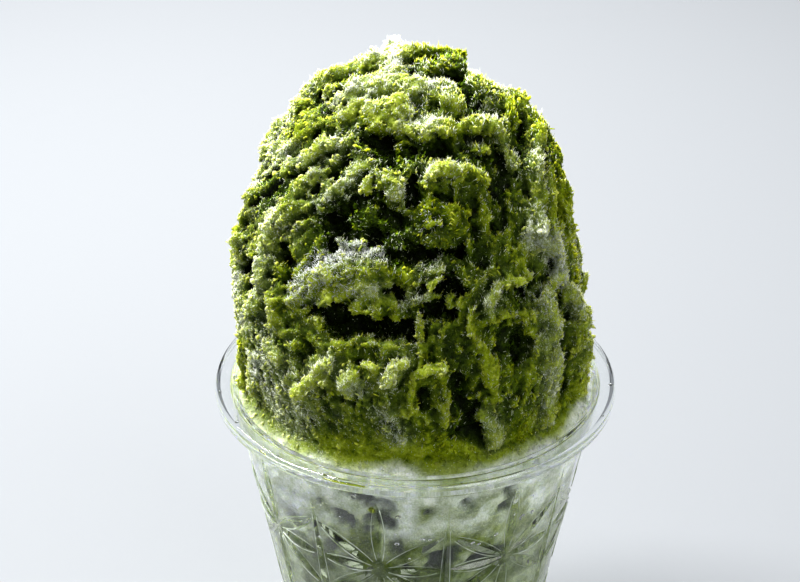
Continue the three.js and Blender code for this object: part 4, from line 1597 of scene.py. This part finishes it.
def clear_material(name, colour, ior):
    """Clear plastic or water. Lamps reach what is behind it."""
    material, tree, shader = new_material(name)
    set_inputs(shader, Base_Color=(*colour, 1), Transmission_Weight=1.0, IOR=ior, Roughness=0.0)
    lamps = tree.nodes.new("ShaderNodeBsdfTransparent")
    lamps.inputs["Color"].default_value = (*(LAMP_SHARE * c for c in colour), 1)
    path = tree.nodes.new("ShaderNodeLightPath")
    mix = tree.nodes.new("ShaderNodeMixShader")
    tree.links.new(path.outputs["Is Shadow Ray"], mix.inputs[0])
    tree.links.new(shader.outputs[0], mix.inputs[1])
    tree.links.new(lamps.outputs[0], mix.inputs[2])
    tree.links.new(mix.outputs[0], tree.nodes["Material Output"].inputs["Surface"])
    return material


PLASTIC_COLOUR = (0.96, 0.98, 0.975)
CUT_PAINTED_REFRACTION = (0.68, 0.76, 0.52)  # facets of the cuts, tinted as if they showed more of the green ice: painted refraction
PLASTIC_ROUGHNESS, CUT_ROUGHNESS = 0.03, 0.15


def plastic_material():
    """The cup's clear plastic, a little wavy, with cuts tinted green as the ice seen through them: painted
    refraction.
    """
    material = clear_material("clear_plastic", PLASTIC_COLOUR, PLASTIC_IOR)
    tree = material.node_tree
    shader = tree.nodes["Principled BSDF"]
    facets = value_of(tree, "cut")
    tree.links.new(mixed(tree, facets, PLASTIC_COLOUR, CUT_PAINTED_REFRACTION), shader.inputs["Base Color"])
    rough = scaled(tree, facets, CUT_ROUGHNESS, PLASTIC_ROUGHNESS)
    tree.links.new(rough, shader.inputs["Roughness"])
    add_bump(tree, shader, noise(tree, 5.0, 2.0, 0.5), 0.05, 0.3)
    return material


# ---- Stage ----

FLOOR_SIZE = 8  # metres
FLOOR_COLOUR = (0.19, 0.199, 0.209)
SKY_COLOUR, SKY_STRENGTH = (0.86, 0.92, 1.0), 0.3
LAMP_AIM = np.array((0, 0, 0.13))  # metres
# Azimuth and elevation in degrees, distance and size in metres, and power in watts.
LAMPS = {
    "key": (-104, 58, 1.0, 0.4, 25),
    "back": (-168, 50, 1.0, 0.4, 21),
    "fill": (42, 28, 1.6, 1.2, 15),
}


def make_stage():
    material, _, shader = new_material("pale_floor")
    set_inputs(shader, Base_Color=(*FLOOR_COLOUR, 1), Roughness=0.8)
    bpy.ops.mesh.primitive_plane_add(size=FLOOR_SIZE, location=(0, 0, 0))
    floor = bpy.context.object
    floor.name = "floor"
    floor.data.materials.append(material)


def area_light(name, azimuth, elevation, distance, size, power):
    light = bpy.data.lights.new(name, "AREA")
    light.energy = power
    light.size = size
    lamp = bpy.data.objects.new(name, light)
    a, e = math.radians(azimuth), math.radians(elevation)
    way = np.array((math.sin(a) * math.cos(e), -math.cos(a) * math.cos(e), math.sin(e)))
    lamp.location = way * distance + LAMP_AIM
    lamp.rotation_euler = (math.pi / 2 - e, 0, a)
    bpy.context.scene.collection.objects.link(lamp)


def make_lights():
    for name, lamp in LAMPS.items():
        area_light(name, *lamp)
    world = bpy.data.worlds.new("studio")
    world.use_nodes = True
    set_inputs(world.node_tree.nodes["Background"], Color=(*SKY_COLOUR, 1), Strength=SKY_STRENGTH)
    bpy.context.scene.world = world
    bpy.context.scene.view_settings.view_transform = "Standard"


SENSOR = 36.0  # millimetres


def make_camera():
    data = bpy.data.cameras.new("camera")
    data.sensor_width = SENSOR
    data.lens = FOCAL_PIXELS / FRAME_WIDTH * SENSOR
    camera = bpy.data.objects.new("camera", data)
    camera.location = CAMERA_PLACE * MM
    camera.rotation_euler = (math.pi / 2 - CAMERA_ELEVATION, 0, 0)
    bpy.context.scene.collection.objects.link(camera)
    bpy.context.scene.camera = camera


make_camera()
make_stage()
make_lights()
ice = ice_material()
frost_ice = crystal_material("frost", FROST_COLOURS, subsurface=0.8)
hoar_ice = crystal_material("hoar", HOAR_COLOURS, subsurface=0.7)
water = clear_material("water", WATER_COLOUR, WATER_IOR)
syrup = clear_material("syrup", SYRUP_COLOUR, SYRUP_IOR)
mound = make_mound(ice)
make_filling(ice)
make_crystals(mound, ice, frost_ice, hoar_ice)
make_cup(plastic_material())
make_cut_highlights(crystal_material("cut_edge_highlight", CUT_HIGHLIGHT_COLOURS, subsurface=0.3, drift=7.0))
make_drops(water, syrup)
